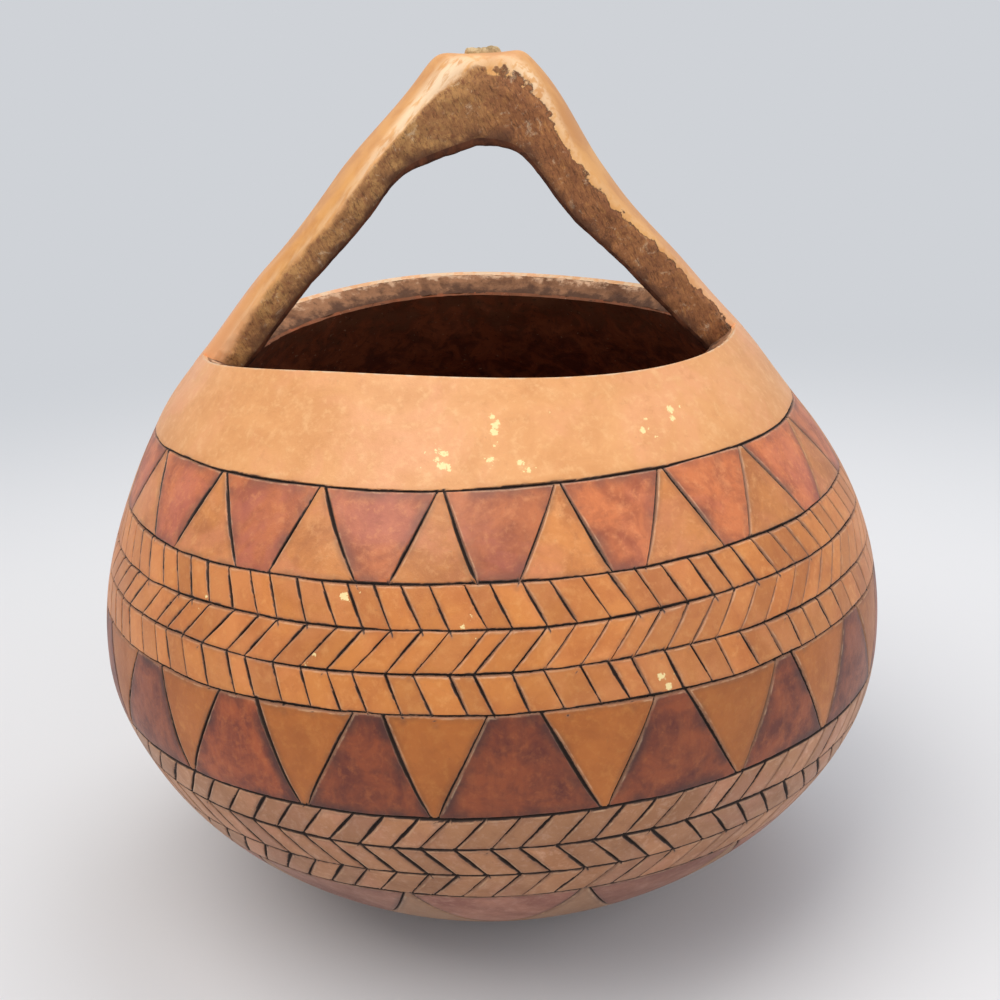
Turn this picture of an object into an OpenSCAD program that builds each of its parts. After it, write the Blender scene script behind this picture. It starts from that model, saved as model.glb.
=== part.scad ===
// Carved hard-shell gourd, cut so that a strap of its own wall stands over the mouth as a handle.
// The body is a solid of revolution about Z. Its layers, from outside in, are a hard skin that the
// carver's V cuts part into fields, the woody wall, and a thin lining of dried pith.
// X runs along the handle, the front is -Y, and Z = 0 is the surface that the base stands on.

/* [Body] */
// Radius of the gourd at its widest
belly_r = 110; // [95:1:125]
// Height of the widest ring above the base
belly_z = 84; // [76:1:90]
// Radius of the flat that the gourd stands on
base_r = 25; // [20:1:32]
// How round the lower half is: smaller is fuller
base_taper = 0.66; // [0.58:0.01:0.74]
// Height of the ellipse that shapes the shoulder
shoulder_rise = 97.5; // [92:0.5:104]
// Height where the shoulder runs into the straight neck
neck_z = 140; // [134:1:146]

/* [Layers] */
// Thickness of the hard outer skin
skin_t = 1.4; // [1:0.1:2]
// Thickness of the woody wall
wall_t = 7; // [5:0.5:9]
// Thickness of the dried pith on the inside
lining_t = 0.8; // [0.5:0.1:1.5]

/* [Rim and handle] */
// Height of the outer edge of the rim
rim_z = 167; // [162:1:172]
// Width of the strap where it leaves the rim
strap_w_rim = 26; // [20:1:34]
// Width of the strap at the crown
strap_w_top = 36; // [30:1:42]
// Height of the top of the crown
crown_top_z = 237.5; // [234:0.5:242]
// Height of the thick crown, from its top down to where the two legs meet it
crown_h = 29.5; // [25:0.5:36]
// Radius of the level part of the crown's top
crown_top_r = 10; // [9:0.5:12]
// Height of the crown's rounded edge, where the straight neck turns over into the top
crown_edge_h = 7.5; // [5:0.5:11]
// Radius of the neck where the rounded edge starts
crown_edge_r = 18.8; // [17:0.1:22]
// Thickness of the flesh between the crown's top and the hollow under it
crown_t = 16.5; // [13:0.5:20]

/* [Stem and blossom scars] */
// Radius of the woody stem stub
stem_r = 6.5; // [4:0.5:8]
// How far the stub stands above the crown
stem_h = 2.5; // [1:0.5:5]
// How deep the stub is rooted in the crown
stem_root = 4; // [2:0.5:6]
// Depth of the dimple in the stub's top
stem_dimple = 1; // [0.3:0.1:1.5]
// Number of ridges round the stub
stem_ridges = 5; // [4:1:8]
// Radius of the blossom scar under the base
blossom_r = 5; // [3:0.5:8]
// How far the blossom scar lies above the resting face
blossom_inset = 0.5; // [0.2:0.1:1]
// Thickness of the blossom scar
blossom_t = 1.5; // [1:0.1:2.5]

/* [Carved bands] */
// Drop from the rim to the first ring line
collar_h = 22; // [16:0.5:24]
// Height of the band of upright triangles
upper_band_h = 18; // [15:0.5:19]
// Height of each upper row of slanted tiles
upper_row_h = 9; // [7:0.5:10]
// Height of the band of hanging triangles
lower_band_h = 25; // [21:0.5:26]
// Height of each lower row of slanted tiles
lower_row_h = 9.5; // [7:0.5:10]
// Drop of the scallops below the last ring line
scallop_h = 22; // [16:0.5:28]
// Depth of the carved V cuts
cut_d = 0.8; // [0.4:0.1:0.9]
// Width of the carved V cuts at the surface
cut_w = 1.5; // [1:0.1:2.2]

/* [Triangles and scallops] */
// Number of upright triangles
upper_count = 19; // [15:1:22]
// Space left between the bases of upright triangles
upper_gap = 9; // [6:0.1:14]
// Turn of the upright triangles from the front, in degrees
upper_phase = -7.5; // [-9:0.5:9]
// Number of hanging triangles
lower_count = 20; // [16:1:23]
// Space left between the bases of hanging triangles
lower_gap = 9; // [6:0.1:14]
// Turn of the hanging triangles from the front, in degrees
lower_phase = -7; // [-9:0.5:9]
// Width left at the tip of every triangle
tip_w = 0.6; // [0.4:0.1:1.5]
// Number of scallops
scallop_count = 14; // [10:1:16]
// Plain skin left between the cuts of neighbouring scallops, along the last ring line
scallop_land = 0.4; // [0.2:0.1:5]
// Turn of the scallops from the front, in degrees
scallop_phase = -2.5; // [-12:0.5:12]

/* [Slanted tiles] */
// Number of tiles in each upper row
upper_tiles = 94; // [60:1:100]
// Number of tiles in each lower row
lower_tiles = 87; // [60:1:96]
// Sideways run of the cuts in the first upper row, positive down to the right
upper_run_1 = 4.7; // [-10:0.1:10]
// Sideways run of the cuts in the second upper row
upper_run_2 = -8.6; // [-10:0.1:10]
// Sideways run of the cuts in the third upper row
upper_run_3 = 3.8; // [-10:0.1:10]
// Sideways run of the cuts in the first lower row
lower_run_1 = -8.3; // [-10:0.1:10]
// Sideways run of the cuts in the second lower row
lower_run_2 = 7.2; // [-10:0.1:10]
// Sideways run of the cuts in the third lower row
lower_run_3 = -7; // [-10:0.1:10]

/* [Hidden] */

// Ring lines from the top down
line_1 = rim_z - collar_h;
line_2 = line_1 - upper_band_h;
line_3 = line_2 - upper_row_h;
line_4 = line_3 - upper_row_h;
line_5 = line_4 - upper_row_h;
line_6 = line_5 - lower_band_h;
line_7 = line_6 - lower_row_h;
line_8 = line_7 - lower_row_h;
line_9 = line_8 - lower_row_h;

// Heights of the crown: where the legs meet it, where its edge starts, and the hollow's top
crown_z = crown_top_z - crown_h;
crown_edge_z = crown_top_z - crown_edge_h;
hollow_top_z = crown_top_z - crown_t;

wall_in = skin_t + wall_t;       // depth of the wall's inner face under the skin
lining_in = wall_in + lining_t;  // depth of the lining's inner face
step_z = 5;                      // tallest straight step in a profile
foot_step = 2.5;                 // the same near the base, where the profile turns fast
bend_steps = 6;                  // steps of each curve on the crown
side_steps = 3;                  // steps of each side of a triangle
scallop_steps = 10;              // steps round each scallop
round_fn = 180;                  // smoothness of every full turn
block_reach = 14;                // depth of the blocks that part the triangles from the panels
scallop_reach = 21;              // the same for the scallops, which bend further round
core_share = 0.8;                // radius of the stub's core, as a share of the stub's
ridge_share = 0.45;              // radius of a ridge of the stub, as a share of the stub's
dimple_share = 0.6;              // radius of the stub's dimple, as a share of the stub's
cut_rise = 2.4;                  // how far the V of a cut goes on above the skin
nudge = 0.01;                    // step for the slope of the profile
big = 4 * belly_r;               // longer than anything on the object

// Shades of the dried gourd, natural and dyed
skin_tan = "#C98B4E";
tile_tan = "#CF8A45";
low_tan = "#BC8358";
dye_red = "#97502F";
dye_deep = "#83412B";
wall_tan = "#A9764A";
pith_brown = "#4A2A1C";
stub_grey = "#8E7B5E";

// Radius of the skin at a height: a full lower half, an elliptic shoulder, a straight neck that
// runs on from the shoulder up to the crown's edge
base_reach = belly_z / sqrt(1 - pow(base_r / belly_r, 1 / base_taper));
function lower_r(z) = belly_r * pow(1 - pow((belly_z - z) / base_reach, 2), base_taper);
function shoulder_r(z) = belly_r * sqrt(1 - pow((z - belly_z) / shoulder_rise, 2));
neck_r = shoulder_r(neck_z);
neck_slope = (crown_edge_r - neck_r) / (crown_edge_z - neck_z);
function skin_r(z) = z < belly_z ? lower_r(z) : z < neck_z ? shoulder_r(z)
  : neck_r + neck_slope * (z - neck_z);

// Lean of the surface from upright at a height, and the point at a depth under the skin there
function lean(z) = atan((skin_r(z + nudge) - skin_r(z - nudge)) / (2 * nudge));
function under(z, depth) = [skin_r(z) - depth * cos(lean(z)), z + depth * sin(lean(z))];

// Heights that divide a stretch of the profile, so that neighbours share their facets
function steps(z0, z1, step = step_z) = let (n = max(1, ceil((z1 - z0) / step)))
  [for (i = [0:n]) z0 + (z1 - z0) * i / n];
function tail(list) = [for (i = [1:len(list) - 1]) list[i]];
function reversed(list) = [for (i = [len(list) - 1:-1:0]) list[i]];
stops = [line_9, line_8, line_7, line_6, line_5, line_4, line_3, line_2, line_1, rim_z];
foot_heights = steps(0, line_9, foot_step);
bowl_heights = concat(foot_heights, [for (i = [1:len(stops) - 1]) each tail(steps(stops[i - 1], stops[i]))]);
leg_heights = steps(rim_z, crown_z);
edge_heights = tail(steps(crown_z, crown_edge_z));
seat_z = foot_heights[floor(len(foot_heights) / 2)];  // where the wall of the seat turns into the side

// The heights of the bowl's profile that lie between two of them
function between(z0, z1) = [for (z = bowl_heights) if (z > z0 - nudge && z < z1 + nudge) z];

// A quadratic curve through three control points
function bend(a, b, c) = [for (i = [1:bend_steps]) let (t = i / bend_steps)
  pow(1 - t, 2) * a + 2 * t * (1 - t) * b + t * t * c];

// Where a face parallel to the straight neck, at a depth under it, reaches a height
function neck_under(z, depth) = [skin_r(z) - depth / cos(lean(crown_z)), z];

// The rounded top of the crown and the dome of the hollow under it
function crown_round(depth) = let (top = crown_top_z - depth)
  bend(under(crown_edge_z, depth), neck_under(top, depth), [crown_top_r, top]);
function hollow_dome(depth) = let (top = hollow_top_z - (depth - wall_in))
  bend(under(crown_z, depth), neck_under(top, depth), [0, top]);

// Degrees round the body that a width along the surface takes up at a height
function turn(width, z) = width / skin_r(z) * 180 / PI;

// Widths of the triangles along their bases and of the scallops along the last ring line
function pitch(z, count) = 2 * PI * skin_r(z) / count;
upper_w = pitch(line_2, upper_count) - upper_gap;
lower_w = pitch(line_5, lower_count) - lower_gap;
scallop_w = pitch(line_9, scallop_count) - cut_w - scallop_land;

// A place on the skin as seen square on from a height on the front: [to the right, up the surface]
function seen(angle, z, z_eye) = [skin_r(z) * sin(angle),
  (skin_r(z) * cos(angle) - skin_r(z_eye)) * sin(lean(z_eye)) + (z - z_eye) * cos(lean(z_eye))];

// A layer of the shell between two depths, closed by cuts square to the skin
module layer(heights, outer, inner) {
  rotate_extrude($fn = round_fn)
    polygon(concat([for (z = heights) under(z, outer)], [for (z = reversed(heights)) under(z, inner)]));
}

// A field of skin between two ring lines, with half of each V cut along its edges
module band(z0, z1) {
  heights = steps(z0, z1);
  inside = [for (i = [1:1:len(heights) - 2]) heights[i]];
  half = cut_w / 2;
  rotate_extrude($fn = round_fn)
    polygon(concat([under(z0, cut_d), under(z0 + half * cos(lean(z0)), 0)], [for (z = inside) under(z, 0)],
      [under(z1 - half * cos(lean(z1)), 0), under(z1, cut_d)], [for (z = reversed(heights)) under(z, skin_t)]));
}

// Puts a child on the skin: its X is outward, its Y runs to the right, its Z up along the surface
module on_skin(angle, z) {
  rotate([0, 0, angle - 90]) translate([skin_r(z), 0, z]) rotate([0, lean(z), 0]) children();
}

// A straight V cut between two places on the skin, each an angle and a height
module cut(from, to) {
  mid = (from + to) / 2;
  across = (to[0] - from[0]) * PI / 180 * skin_r(mid[1]);
  along = (to[1] - from[1]) / cos(lean(mid[1]));
  mouth = cut_w / 2 * (1 + cut_rise / cut_d);
  on_skin(mid[0], mid[1]) rotate([-atan2(across, along), 0, 0])
    linear_extrude(norm([across, along]) + cut_w / 2, center = true)
      polygon([[-cut_d, 0], [cut_rise, mouth], [cut_rise, -mouth]]);
}

// A V cut that follows a path over the skin in short straight steps
module cut_path(path) {
  for (i = [1:len(path) - 1]) cut(path[i - 1], path[i]);
}

// One row of tiles: a band with slanted cuts that start at an angle and run sideways
module tile_row(z0, z1, tiles, run, start) {
  difference() {
    band(z0, z1);
    for (i = [0:tiles - 1]) {
      top = start + i * 360 / tiles;
      cut([top, z1], [top + turn(run, (z0 + z1) / 2), z0]);
    }
  }
}

// One side of a triangle from its tip to its base, as angles and heights
function triangle_side(z_tip, z_base, width, side) = [for (i = [0:side_steps]) let (t = i / side_steps)
  [side * ((1 - t) * turn(tip_w, z_tip) + t * turn(width, z_base)) / 2, z_tip + t * (z_base - z_tip)]];

// A band of triangles: its V cuts, and the blocks that part the triangles from the panels
module triangle_cuts(z_tip, z_base, count, width, phase) {
  for (i = [0:count - 1], side = [-1, 1])
    rotate([0, 0, phase + i * 360 / count]) cut_path(triangle_side(z_tip, z_base, width, side));
}

module triangle_blocks(z_tip, z_base, count, width, phase) {
  eye = (z_tip + z_base) / 2;
  beyond = [0, sign(z_tip - z_base) * block_reach];
  left = [for (p = triangle_side(z_tip, z_base, width, -1)) seen(p[0], p[1], eye)];
  right = [for (p = triangle_side(z_tip, z_base, width, 1)) seen(p[0], p[1], eye)];
  for (i = [0:count - 1])
    on_skin(phase + i * 360 / count, eye) rotate([90, 0, 90]) linear_extrude(block_reach, center = true)
      polygon(concat([left[0] + beyond], left, [left[side_steps] - beyond, right[side_steps] - beyond],
        reversed(right), [right[0] + beyond]));
}

module upper_band() {
  difference() {
    band(line_2, line_1);
    triangle_cuts(line_1, line_2, upper_count, upper_w, upper_phase);
  }
}

module lower_band() {
  difference() {
    band(line_6, line_5);
    triangle_cuts(line_6, line_5, lower_count, lower_w, lower_phase);
  }
}

// The outline of a scallop, half an ellipse hung from the last ring line
scallop_path = [for (i = [0:scallop_steps]) let (t = 180 * i / scallop_steps, z = line_9 - scallop_h * sin(t))
  [-turn(scallop_w / 2 * cos(t), z), z]];

module scallop_blocks() {
  eye = line_9 - scallop_h / 2;
  above = [0, block_reach];
  outline = [for (p = scallop_path) seen(p[0], p[1], eye)];
  for (i = [0:scallop_count - 1])
    on_skin(scallop_phase + i * 360 / scallop_count, eye) rotate([90, 0, 90])
      linear_extrude(scallop_reach, center = true)
        polygon(concat([outline[0] + above], outline, [outline[scallop_steps] + above]));
}

module foot_band() {
  top = line_9 - cut_w / 2 * cos(lean(line_9));
  outside = [for (z = foot_heights) if (z < top) under(z, 0)];
  difference() {
    rotate_extrude($fn = round_fn)
      polygon(concat(outside, [under(top, 0), under(line_9, cut_d)],
        [for (z = reversed(foot_heights)) under(z, skin_t)]));
    for (i = [0:scallop_count - 1])
      rotate([0, 0, scallop_phase + i * 360 / scallop_count]) cut_path(scallop_path);
  }
}

// The strap that two upright saw cuts leave standing, wider towards the crown
module strap() {
  low = strap_w_rim / 2;
  high = strap_w_top / 2;
  foot = rim_z - lining_in;
  rotate([90, 0, 90]) linear_extrude(big, center = true)
    polygon([[-low, foot], [low, foot], [high, crown_z], [high, big], [-high, big], [-high, crown_z]]);
}

module right_side() {
  translate([0, -big / 2, 0]) cube([big, big, big]);
}

module leg(outer, inner) {
  intersection() {
    layer(leg_heights, outer, inner);
    strap();
    right_side();
  }
}

// The stem stub's round core and ridges, as deep as its root
module stub_body() {
  translate([0, 0, crown_top_z - stem_root]) linear_extrude(stem_root + stem_h) {
    circle(r = stem_r * core_share, $fn = 48);
    for (i = [0:stem_ridges - 1]) rotate(i * 360 / stem_ridges)
      translate([stem_r * (1 - ridge_share), 0]) circle(r = stem_r * ridge_share, $fn = 48);
  }
}

// A ring of the woody wall between two heights on the skin
module wall_ring(z0, z1) {
  layer(between(z0, z1), skin_t, wall_in);
}

module wall_seat() {
  heights = between(0, seat_z);
  color(wall_tan) difference() {
    rotate_extrude($fn = round_fn)
      polygon(concat([[0, 0], [base_r, 0]], [for (z = heights) under(z, skin_t)],
        [for (z = reversed(heights)) under(z, wall_in)], [[0, under(0, wall_in)[1]]]));
    cylinder(r = blossom_r, h = 2 * (blossom_inset + blossom_t), center = true, $fn = 60);
  }
}

module wall_foot() {
  color(wall_tan) wall_ring(seat_z, line_9);
}

module bowl_wall() {
  color(wall_tan) wall_ring(line_9, line_5);
}

module wall_shoulder() {
  color(wall_tan) wall_ring(line_5, line_1);
}

module wall_neck() {
  color(wall_tan) wall_ring(line_1, rim_z);
}

module bowl_lining() {
  color(pith_brown) rotate_extrude($fn = round_fn)
    polygon(concat([[0, under(0, wall_in)[1]]], [for (z = bowl_heights) under(z, wall_in)],
      [for (z = reversed(bowl_heights)) under(z, lining_in)], [[0, under(0, lining_in)[1]]]));
}

module handle_right_leg() {
  color(wall_tan) leg(skin_t, wall_in);
}

module handle_left_leg() {
  color(wall_tan) mirror([1, 0, 0]) leg(skin_t, wall_in);
}

module handle_crown() {
  color(wall_tan) difference() {
    intersection() {
      rotate_extrude($fn = round_fn)
        polygon(concat([under(crown_z, skin_t)], [for (z = edge_heights) under(z, skin_t)], crown_round(skin_t),
          [[0, crown_top_z - skin_t]], reversed(hollow_dome(wall_in)), [under(crown_z, wall_in)]));
      strap();
    }
    stub_body();
  }
}

module handle_lining() {
  color(pith_brown) intersection() {
    rotate_extrude($fn = round_fn)
      polygon(concat([for (z = leg_heights) under(z, wall_in)], hollow_dome(wall_in),
        reversed(hollow_dome(lining_in)), [for (z = reversed(leg_heights)) under(z, lining_in)]));
    strap();
  }
}

module stem_stub() {
  dimple_r = (pow(stem_r * dimple_share, 2) + pow(stem_dimple, 2)) / (2 * stem_dimple);
  color(stub_grey) difference() {
    stub_body();
    translate([0, 0, crown_top_z + stem_h + dimple_r - stem_dimple]) sphere(r = dimple_r, $fn = 60);
  }
}

module blossom_scar() {
  color(stub_grey) translate([0, 0, blossom_inset]) cylinder(r = blossom_r, h = blossom_t, $fn = 60);
}

module collar_skin() {
  heights = steps(line_1, rim_z);
  color(skin_tan) rotate_extrude($fn = round_fn)
    polygon(concat([under(line_1, cut_d), under(line_1 + cut_w / 2 * cos(lean(line_1)), 0)],
      [for (z = tail(heights)) under(z, 0)], [for (z = reversed(heights)) under(z, skin_t)]));
}

module upper_light_triangles() {
  color(skin_tan) intersection() {
    upper_band();
    triangle_blocks(line_1, line_2, upper_count, upper_w, upper_phase);
  }
}

module upper_dark_panels() {
  color(dye_red) difference() {
    upper_band();
    triangle_blocks(line_1, line_2, upper_count, upper_w, upper_phase);
  }
}

// The cuts of neighbouring rows meet end to end, as one zigzag
upper_start_2 = turn(upper_run_1, (line_2 + line_3) / 2);
upper_start_3 = upper_start_2 + turn(upper_run_2, (line_3 + line_4) / 2);
lower_start_2 = turn(lower_run_1, (line_6 + line_7) / 2);
lower_start_3 = lower_start_2 + turn(lower_run_2, (line_7 + line_8) / 2);

module upper_tile_row_1() {
  color(tile_tan) tile_row(line_3, line_2, upper_tiles, upper_run_1, 0);
}

module upper_tile_row_2() {
  color(tile_tan) tile_row(line_4, line_3, upper_tiles, upper_run_2, upper_start_2);
}

module upper_tile_row_3() {
  color(tile_tan) tile_row(line_5, line_4, upper_tiles, upper_run_3, upper_start_3);
}

module lower_light_triangles() {
  color(skin_tan) intersection() {
    lower_band();
    triangle_blocks(line_6, line_5, lower_count, lower_w, lower_phase);
  }
}

module lower_dark_panels() {
  color(dye_deep) difference() {
    lower_band();
    triangle_blocks(line_6, line_5, lower_count, lower_w, lower_phase);
  }
}

module lower_tile_row_1() {
  color(low_tan) tile_row(line_7, line_6, lower_tiles, lower_run_1, 0);
}

module lower_tile_row_2() {
  color(low_tan) tile_row(line_8, line_7, lower_tiles, lower_run_2, lower_start_2);
}

module lower_tile_row_3() {
  color(low_tan) tile_row(line_9, line_8, lower_tiles, lower_run_3, lower_start_3);
}

module scallop_panels() {
  color(dye_deep) intersection() {
    foot_band();
    scallop_blocks();
  }
}

module base_skin() {
  color(skin_tan) difference() {
    foot_band();
    scallop_blocks();
  }
}

module right_leg_skin() {
  color(skin_tan) leg(0, skin_t);
}

module left_leg_skin() {
  color(skin_tan) mirror([1, 0, 0]) leg(0, skin_t);
}

module crown_skin() {
  color(skin_tan) difference() {
    intersection() {
      rotate_extrude($fn = round_fn)
        polygon(concat([under(crown_z, 0)], [for (z = edge_heights) under(z, 0)], crown_round(0),
          [[0, crown_top_z], [0, crown_top_z - skin_t]], reversed(crown_round(skin_t)),
          [for (z = reversed(edge_heights)) under(z, skin_t)], [under(crown_z, skin_t)]));
      strap();
    }
    stub_body();
  }
}

bowl_wall();
wall_seat();
wall_foot();
wall_shoulder();
wall_neck();
bowl_lining();
handle_left_leg();
handle_right_leg();
handle_crown();
handle_lining();
stem_stub();
blossom_scar();
collar_skin();
upper_light_triangles();
upper_dark_panels();
upper_tile_row_1();
upper_tile_row_2();
upper_tile_row_3();
lower_light_triangles();
lower_dark_panels();
lower_tile_row_1();
lower_tile_row_2();
lower_tile_row_3();
scallop_panels();
base_skin();
left_leg_skin();
right_leg_skin();
crown_skin();
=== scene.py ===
"""Dresses a carved gourd: its skin cut by hand into bands, its rough wall, pith and strap handle."""
import logging
import math
import random
from dataclasses import dataclass, field
from enum import Enum
from functools import lru_cache

import bmesh
import bpy
import numpy as np
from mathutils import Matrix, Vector


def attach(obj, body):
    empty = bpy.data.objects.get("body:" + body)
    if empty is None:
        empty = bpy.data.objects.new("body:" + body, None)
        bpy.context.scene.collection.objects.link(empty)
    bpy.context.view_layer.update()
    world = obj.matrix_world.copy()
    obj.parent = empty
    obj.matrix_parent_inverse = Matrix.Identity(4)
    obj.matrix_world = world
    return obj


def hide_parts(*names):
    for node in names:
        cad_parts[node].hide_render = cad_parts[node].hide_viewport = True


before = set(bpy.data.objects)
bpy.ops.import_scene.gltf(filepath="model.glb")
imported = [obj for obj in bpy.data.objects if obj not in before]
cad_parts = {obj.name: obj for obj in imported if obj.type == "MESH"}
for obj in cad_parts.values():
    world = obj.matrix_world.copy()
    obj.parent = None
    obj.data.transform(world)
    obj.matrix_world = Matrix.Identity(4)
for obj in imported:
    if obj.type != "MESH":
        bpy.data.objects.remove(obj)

# Short names for the types that the pieces, their meshes and their finishes have
Material = bpy.types.Material
Mesh = bmesh.types.BMesh
Piece = bpy.types.Object
Socket = bpy.types.NodeSocket
MM = 0.001
SEED = 11
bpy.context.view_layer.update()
LOG = logging.getLogger("gourd")
# Random values on a lattice, which soft noise is drawn from, and a turn that hides the lattice's own lines
LATTICE = np.random.default_rng(SEED).uniform(-1.0, 1.0, (64, 64, 64))
ASKEW = np.linalg.qr(np.array([[1.0, 0.62, -0.33], [-0.41, 1.0, 0.57], [0.28, -0.49, 1.0]]))[0]


class Leg(Enum):
    """The two legs of the strap handle, by the sign of X that they stand on."""

    LEFT = -1
    RIGHT = 1


class Field(Enum):
    """Which cells of a band of triangles a piece holds."""

    ALL = 0
    TRIANGLES = 1
    PANELS = 2


def linear(hex_colour: str) -> tuple[float, float, float, float]:
    """Turns an sRGB hex colour to linear RGBA.

    Args:
        hex_colour: Six hex digits after a hash.

    Returns:
        The linear colour with an alpha of 1.
    """
    channels = [int(hex_colour[i:i + 2], 16) / 255 for i in (1, 3, 5)]
    return tuple([c / 12.92 if c <= 0.04045 else ((c + 0.055) / 1.055) ** 2.4 for c in channels] + [1.0])


def smooth(low: float, high: float, value: np.ndarray) -> np.ndarray:
    """Rises smoothly from 0 at low to 1 at high."""
    t = np.clip((value - low) / (high - low), 0, 1)
    return t * t * (3 - 2 * t)


def grain(points: np.ndarray, size: float, shift: float = 0.0) -> np.ndarray:
    """Soft noise between about -1 and 1 at each point.

    Args:
        points: Places in millimetres, one row each.
        size: Size of the noise's lumps in millimetres.
        shift: Moves the noise, so that two uses differ.

    Returns:
        One value for each point.
    """
    scaled = points @ ASKEW / size + shift
    cell = np.floor(scaled).astype(int)
    part = scaled - cell
    part = part * part * (3 - 2 * part)
    total = np.zeros(len(points))
    for corner in np.ndindex(2, 2, 2):
        weight = np.prod(np.where(np.array(corner, bool), part, 1 - part), axis=1)
        i, j, k = ((cell + np.array(corner)) % len(LATTICE)).T
        total += weight * LATTICE[i, j, k]
    return total


def layered(points: np.ndarray, layers: tuple) -> np.ndarray:
    """Adds soft noises of several sizes, each layer given as its size, its shift and its height."""
    return sum(height * grain(points, size, shift) for size, shift, height in layers)


def add_node(tree: bpy.types.NodeTree, kind: str, settings: dict | None = None) -> bpy.types.Node:
    """Adds a node to a tree.

    Args:
        tree: The node tree of a material or world.
        kind: The node's type, without its ShaderNode prefix.
        settings: Properties, or input sockets by name or index, each with its value or the socket that
            feeds it.

    Returns:
        The new node.
    """
    node = tree.nodes.new("ShaderNode" + kind)
    for key, value in (settings or {}).items():
        if isinstance(value, Socket):
            tree.links.new(value, node.inputs[key])
        elif isinstance(key, str) and hasattr(node, key):
            setattr(node, key, value)
        else:
            node.inputs[key].default_value = value
    return node


@dataclass
class Bench:
    """A new material's nodes, and short ways to add the kinds that every finish uses."""

    name: str

    def __post_init__(self) -> None:
        self.material = bpy.data.materials.new(self.name)
        self.material.use_nodes = True
        self.tree = self.material.node_tree
        self.tree.nodes.clear()
        self.coords = add_node(self.tree, "TexCoord").outputs["Object"]

    def attribute(self, name: str) -> Socket:
        """A value that the mesh carries."""
        return add_node(self.tree, "Attribute", {"attribute_name": name}).outputs["Fac"]

    def noise(self, size_mm: float, detail: float = 4.0, rough: float = 0.6, distortion: float = 0.0,
              vector: Socket | None = None) -> Socket:
        """Cloudy noise with lumps of a size, or of 1 in a vector that is already scaled."""
        scale = 1 / (size_mm * MM) if vector is None else 1.0
        settings = {"Vector": vector or self.coords, "Scale": scale, "Detail": detail, "Roughness": rough,
                    "Distortion": distortion}
        return add_node(self.tree, "TexNoise", settings).outputs["Fac"]

    def stretched(self, turn: float, size_mm: tuple[float, float, float]) -> Socket:
        """Object coordinates turned about Y by some degrees, then divided by a size along each axis."""
        settings = {"vector_type": "TEXTURE", "Vector": self.coords,
                    "Rotation": (0.0, math.radians(turn), 0.0),
                    "Scale": tuple(value * MM for value in size_mm)}
        return add_node(self.tree, "Mapping", settings).outputs[0]

    def span(self, value: Socket, low: float, high: float, to_low: float = 0.0,
             to_high: float = 1.0) -> Socket:
        """Maps a value smoothly from one range to another, and holds it there."""
        settings = {"interpolation_type": "SMOOTHSTEP", "Value": value, "From Min": low, "From Max": high,
                    "To Min": to_low, "To Max": to_high}
        return add_node(self.tree, "MapRange", settings).outputs[0]

    def maths(self, operation: str, *terms: Socket | float) -> Socket:
        """A sum, product or other operation on sockets and numbers."""
        return add_node(self.tree, "Math", {"operation": operation, **dict(enumerate(terms))}).outputs[0]

    def mix(self, factor: Socket | float, under: Socket | str, over: Socket | str) -> Socket:
        """Lays one colour over another, each a socket or sRGB hex."""
        under, over = (linear(colour) if isinstance(colour, str) else colour for colour in (under, over))
        return add_node(self.tree, "Mix", {"data_type": "RGBA", 0: factor, 6: under, 7: over}).outputs[2]

    def tint(self, under: Socket | str, over: Socket | str, value: Socket, low: float, high: float,
             share: float = 1.0) -> Socket:
        """Lays one colour over another where a value goes from low to high, by a share at the most."""
        return self.mix(self.span(value, low, high, 0.0, share), under, over)

    def bump(self, height: Socket, strength: float, rise_mm: float, under: Socket | None = None) -> Socket:
        """Roughens the surface by a height, over another bump if one is given."""
        settings = {"Strength": strength, "Distance": rise_mm * MM, "Height": height}
        return add_node(self.tree, "Bump", settings | ({"Normal": under} if under else {})).outputs[0]

    def finish(self, colour: Socket, roughness: Socket | float, normal: Socket, ior: float = 1.5,
               wax: float = 0.0) -> Material:
        """Joins all to a surface, under a coat of wax if it has one, and hands over the material."""
        settings = {"Base Color": colour, "Roughness": roughness, "Normal": normal, "IOR": ior,
                    "Coat Weight": wax, "Coat Roughness": 0.4}
        shader = add_node(self.tree, "BsdfPrincipled", settings)
        add_node(self.tree, "OutputMaterial", {"Surface": shader.outputs[0]})
        return self.material


def places_of(mesh: Mesh) -> np.ndarray:
    """Places of a mesh's vertices, one row each."""
    return np.array([v.co for v in mesh.verts])


def set_places(mesh: Mesh, points: np.ndarray) -> None:
    """Moves a mesh's vertices to places in millimetres."""
    for v, point in zip(mesh.verts, points):
        v.co = point * MM


def record_values(mesh: Mesh, values: dict[str, np.ndarray]) -> None:
    """Writes values on a mesh's vertices for the finishes to read, each under its name."""
    for name, numbers in values.items():
        layer = mesh.verts.layers.float.new(name)
        for v, number in zip(mesh.verts, numbers):
            v[layer] = number


def unit_grid(mesh: Mesh, columns: int, rows: int) -> list[bmesh.types.BMVert]:
    """Adds a grid one wide and one high round the origin, and hands over its vertices."""
    return bmesh.ops.create_grid(mesh, x_segments=columns, y_segments=rows, size=0.5)["verts"]


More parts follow.
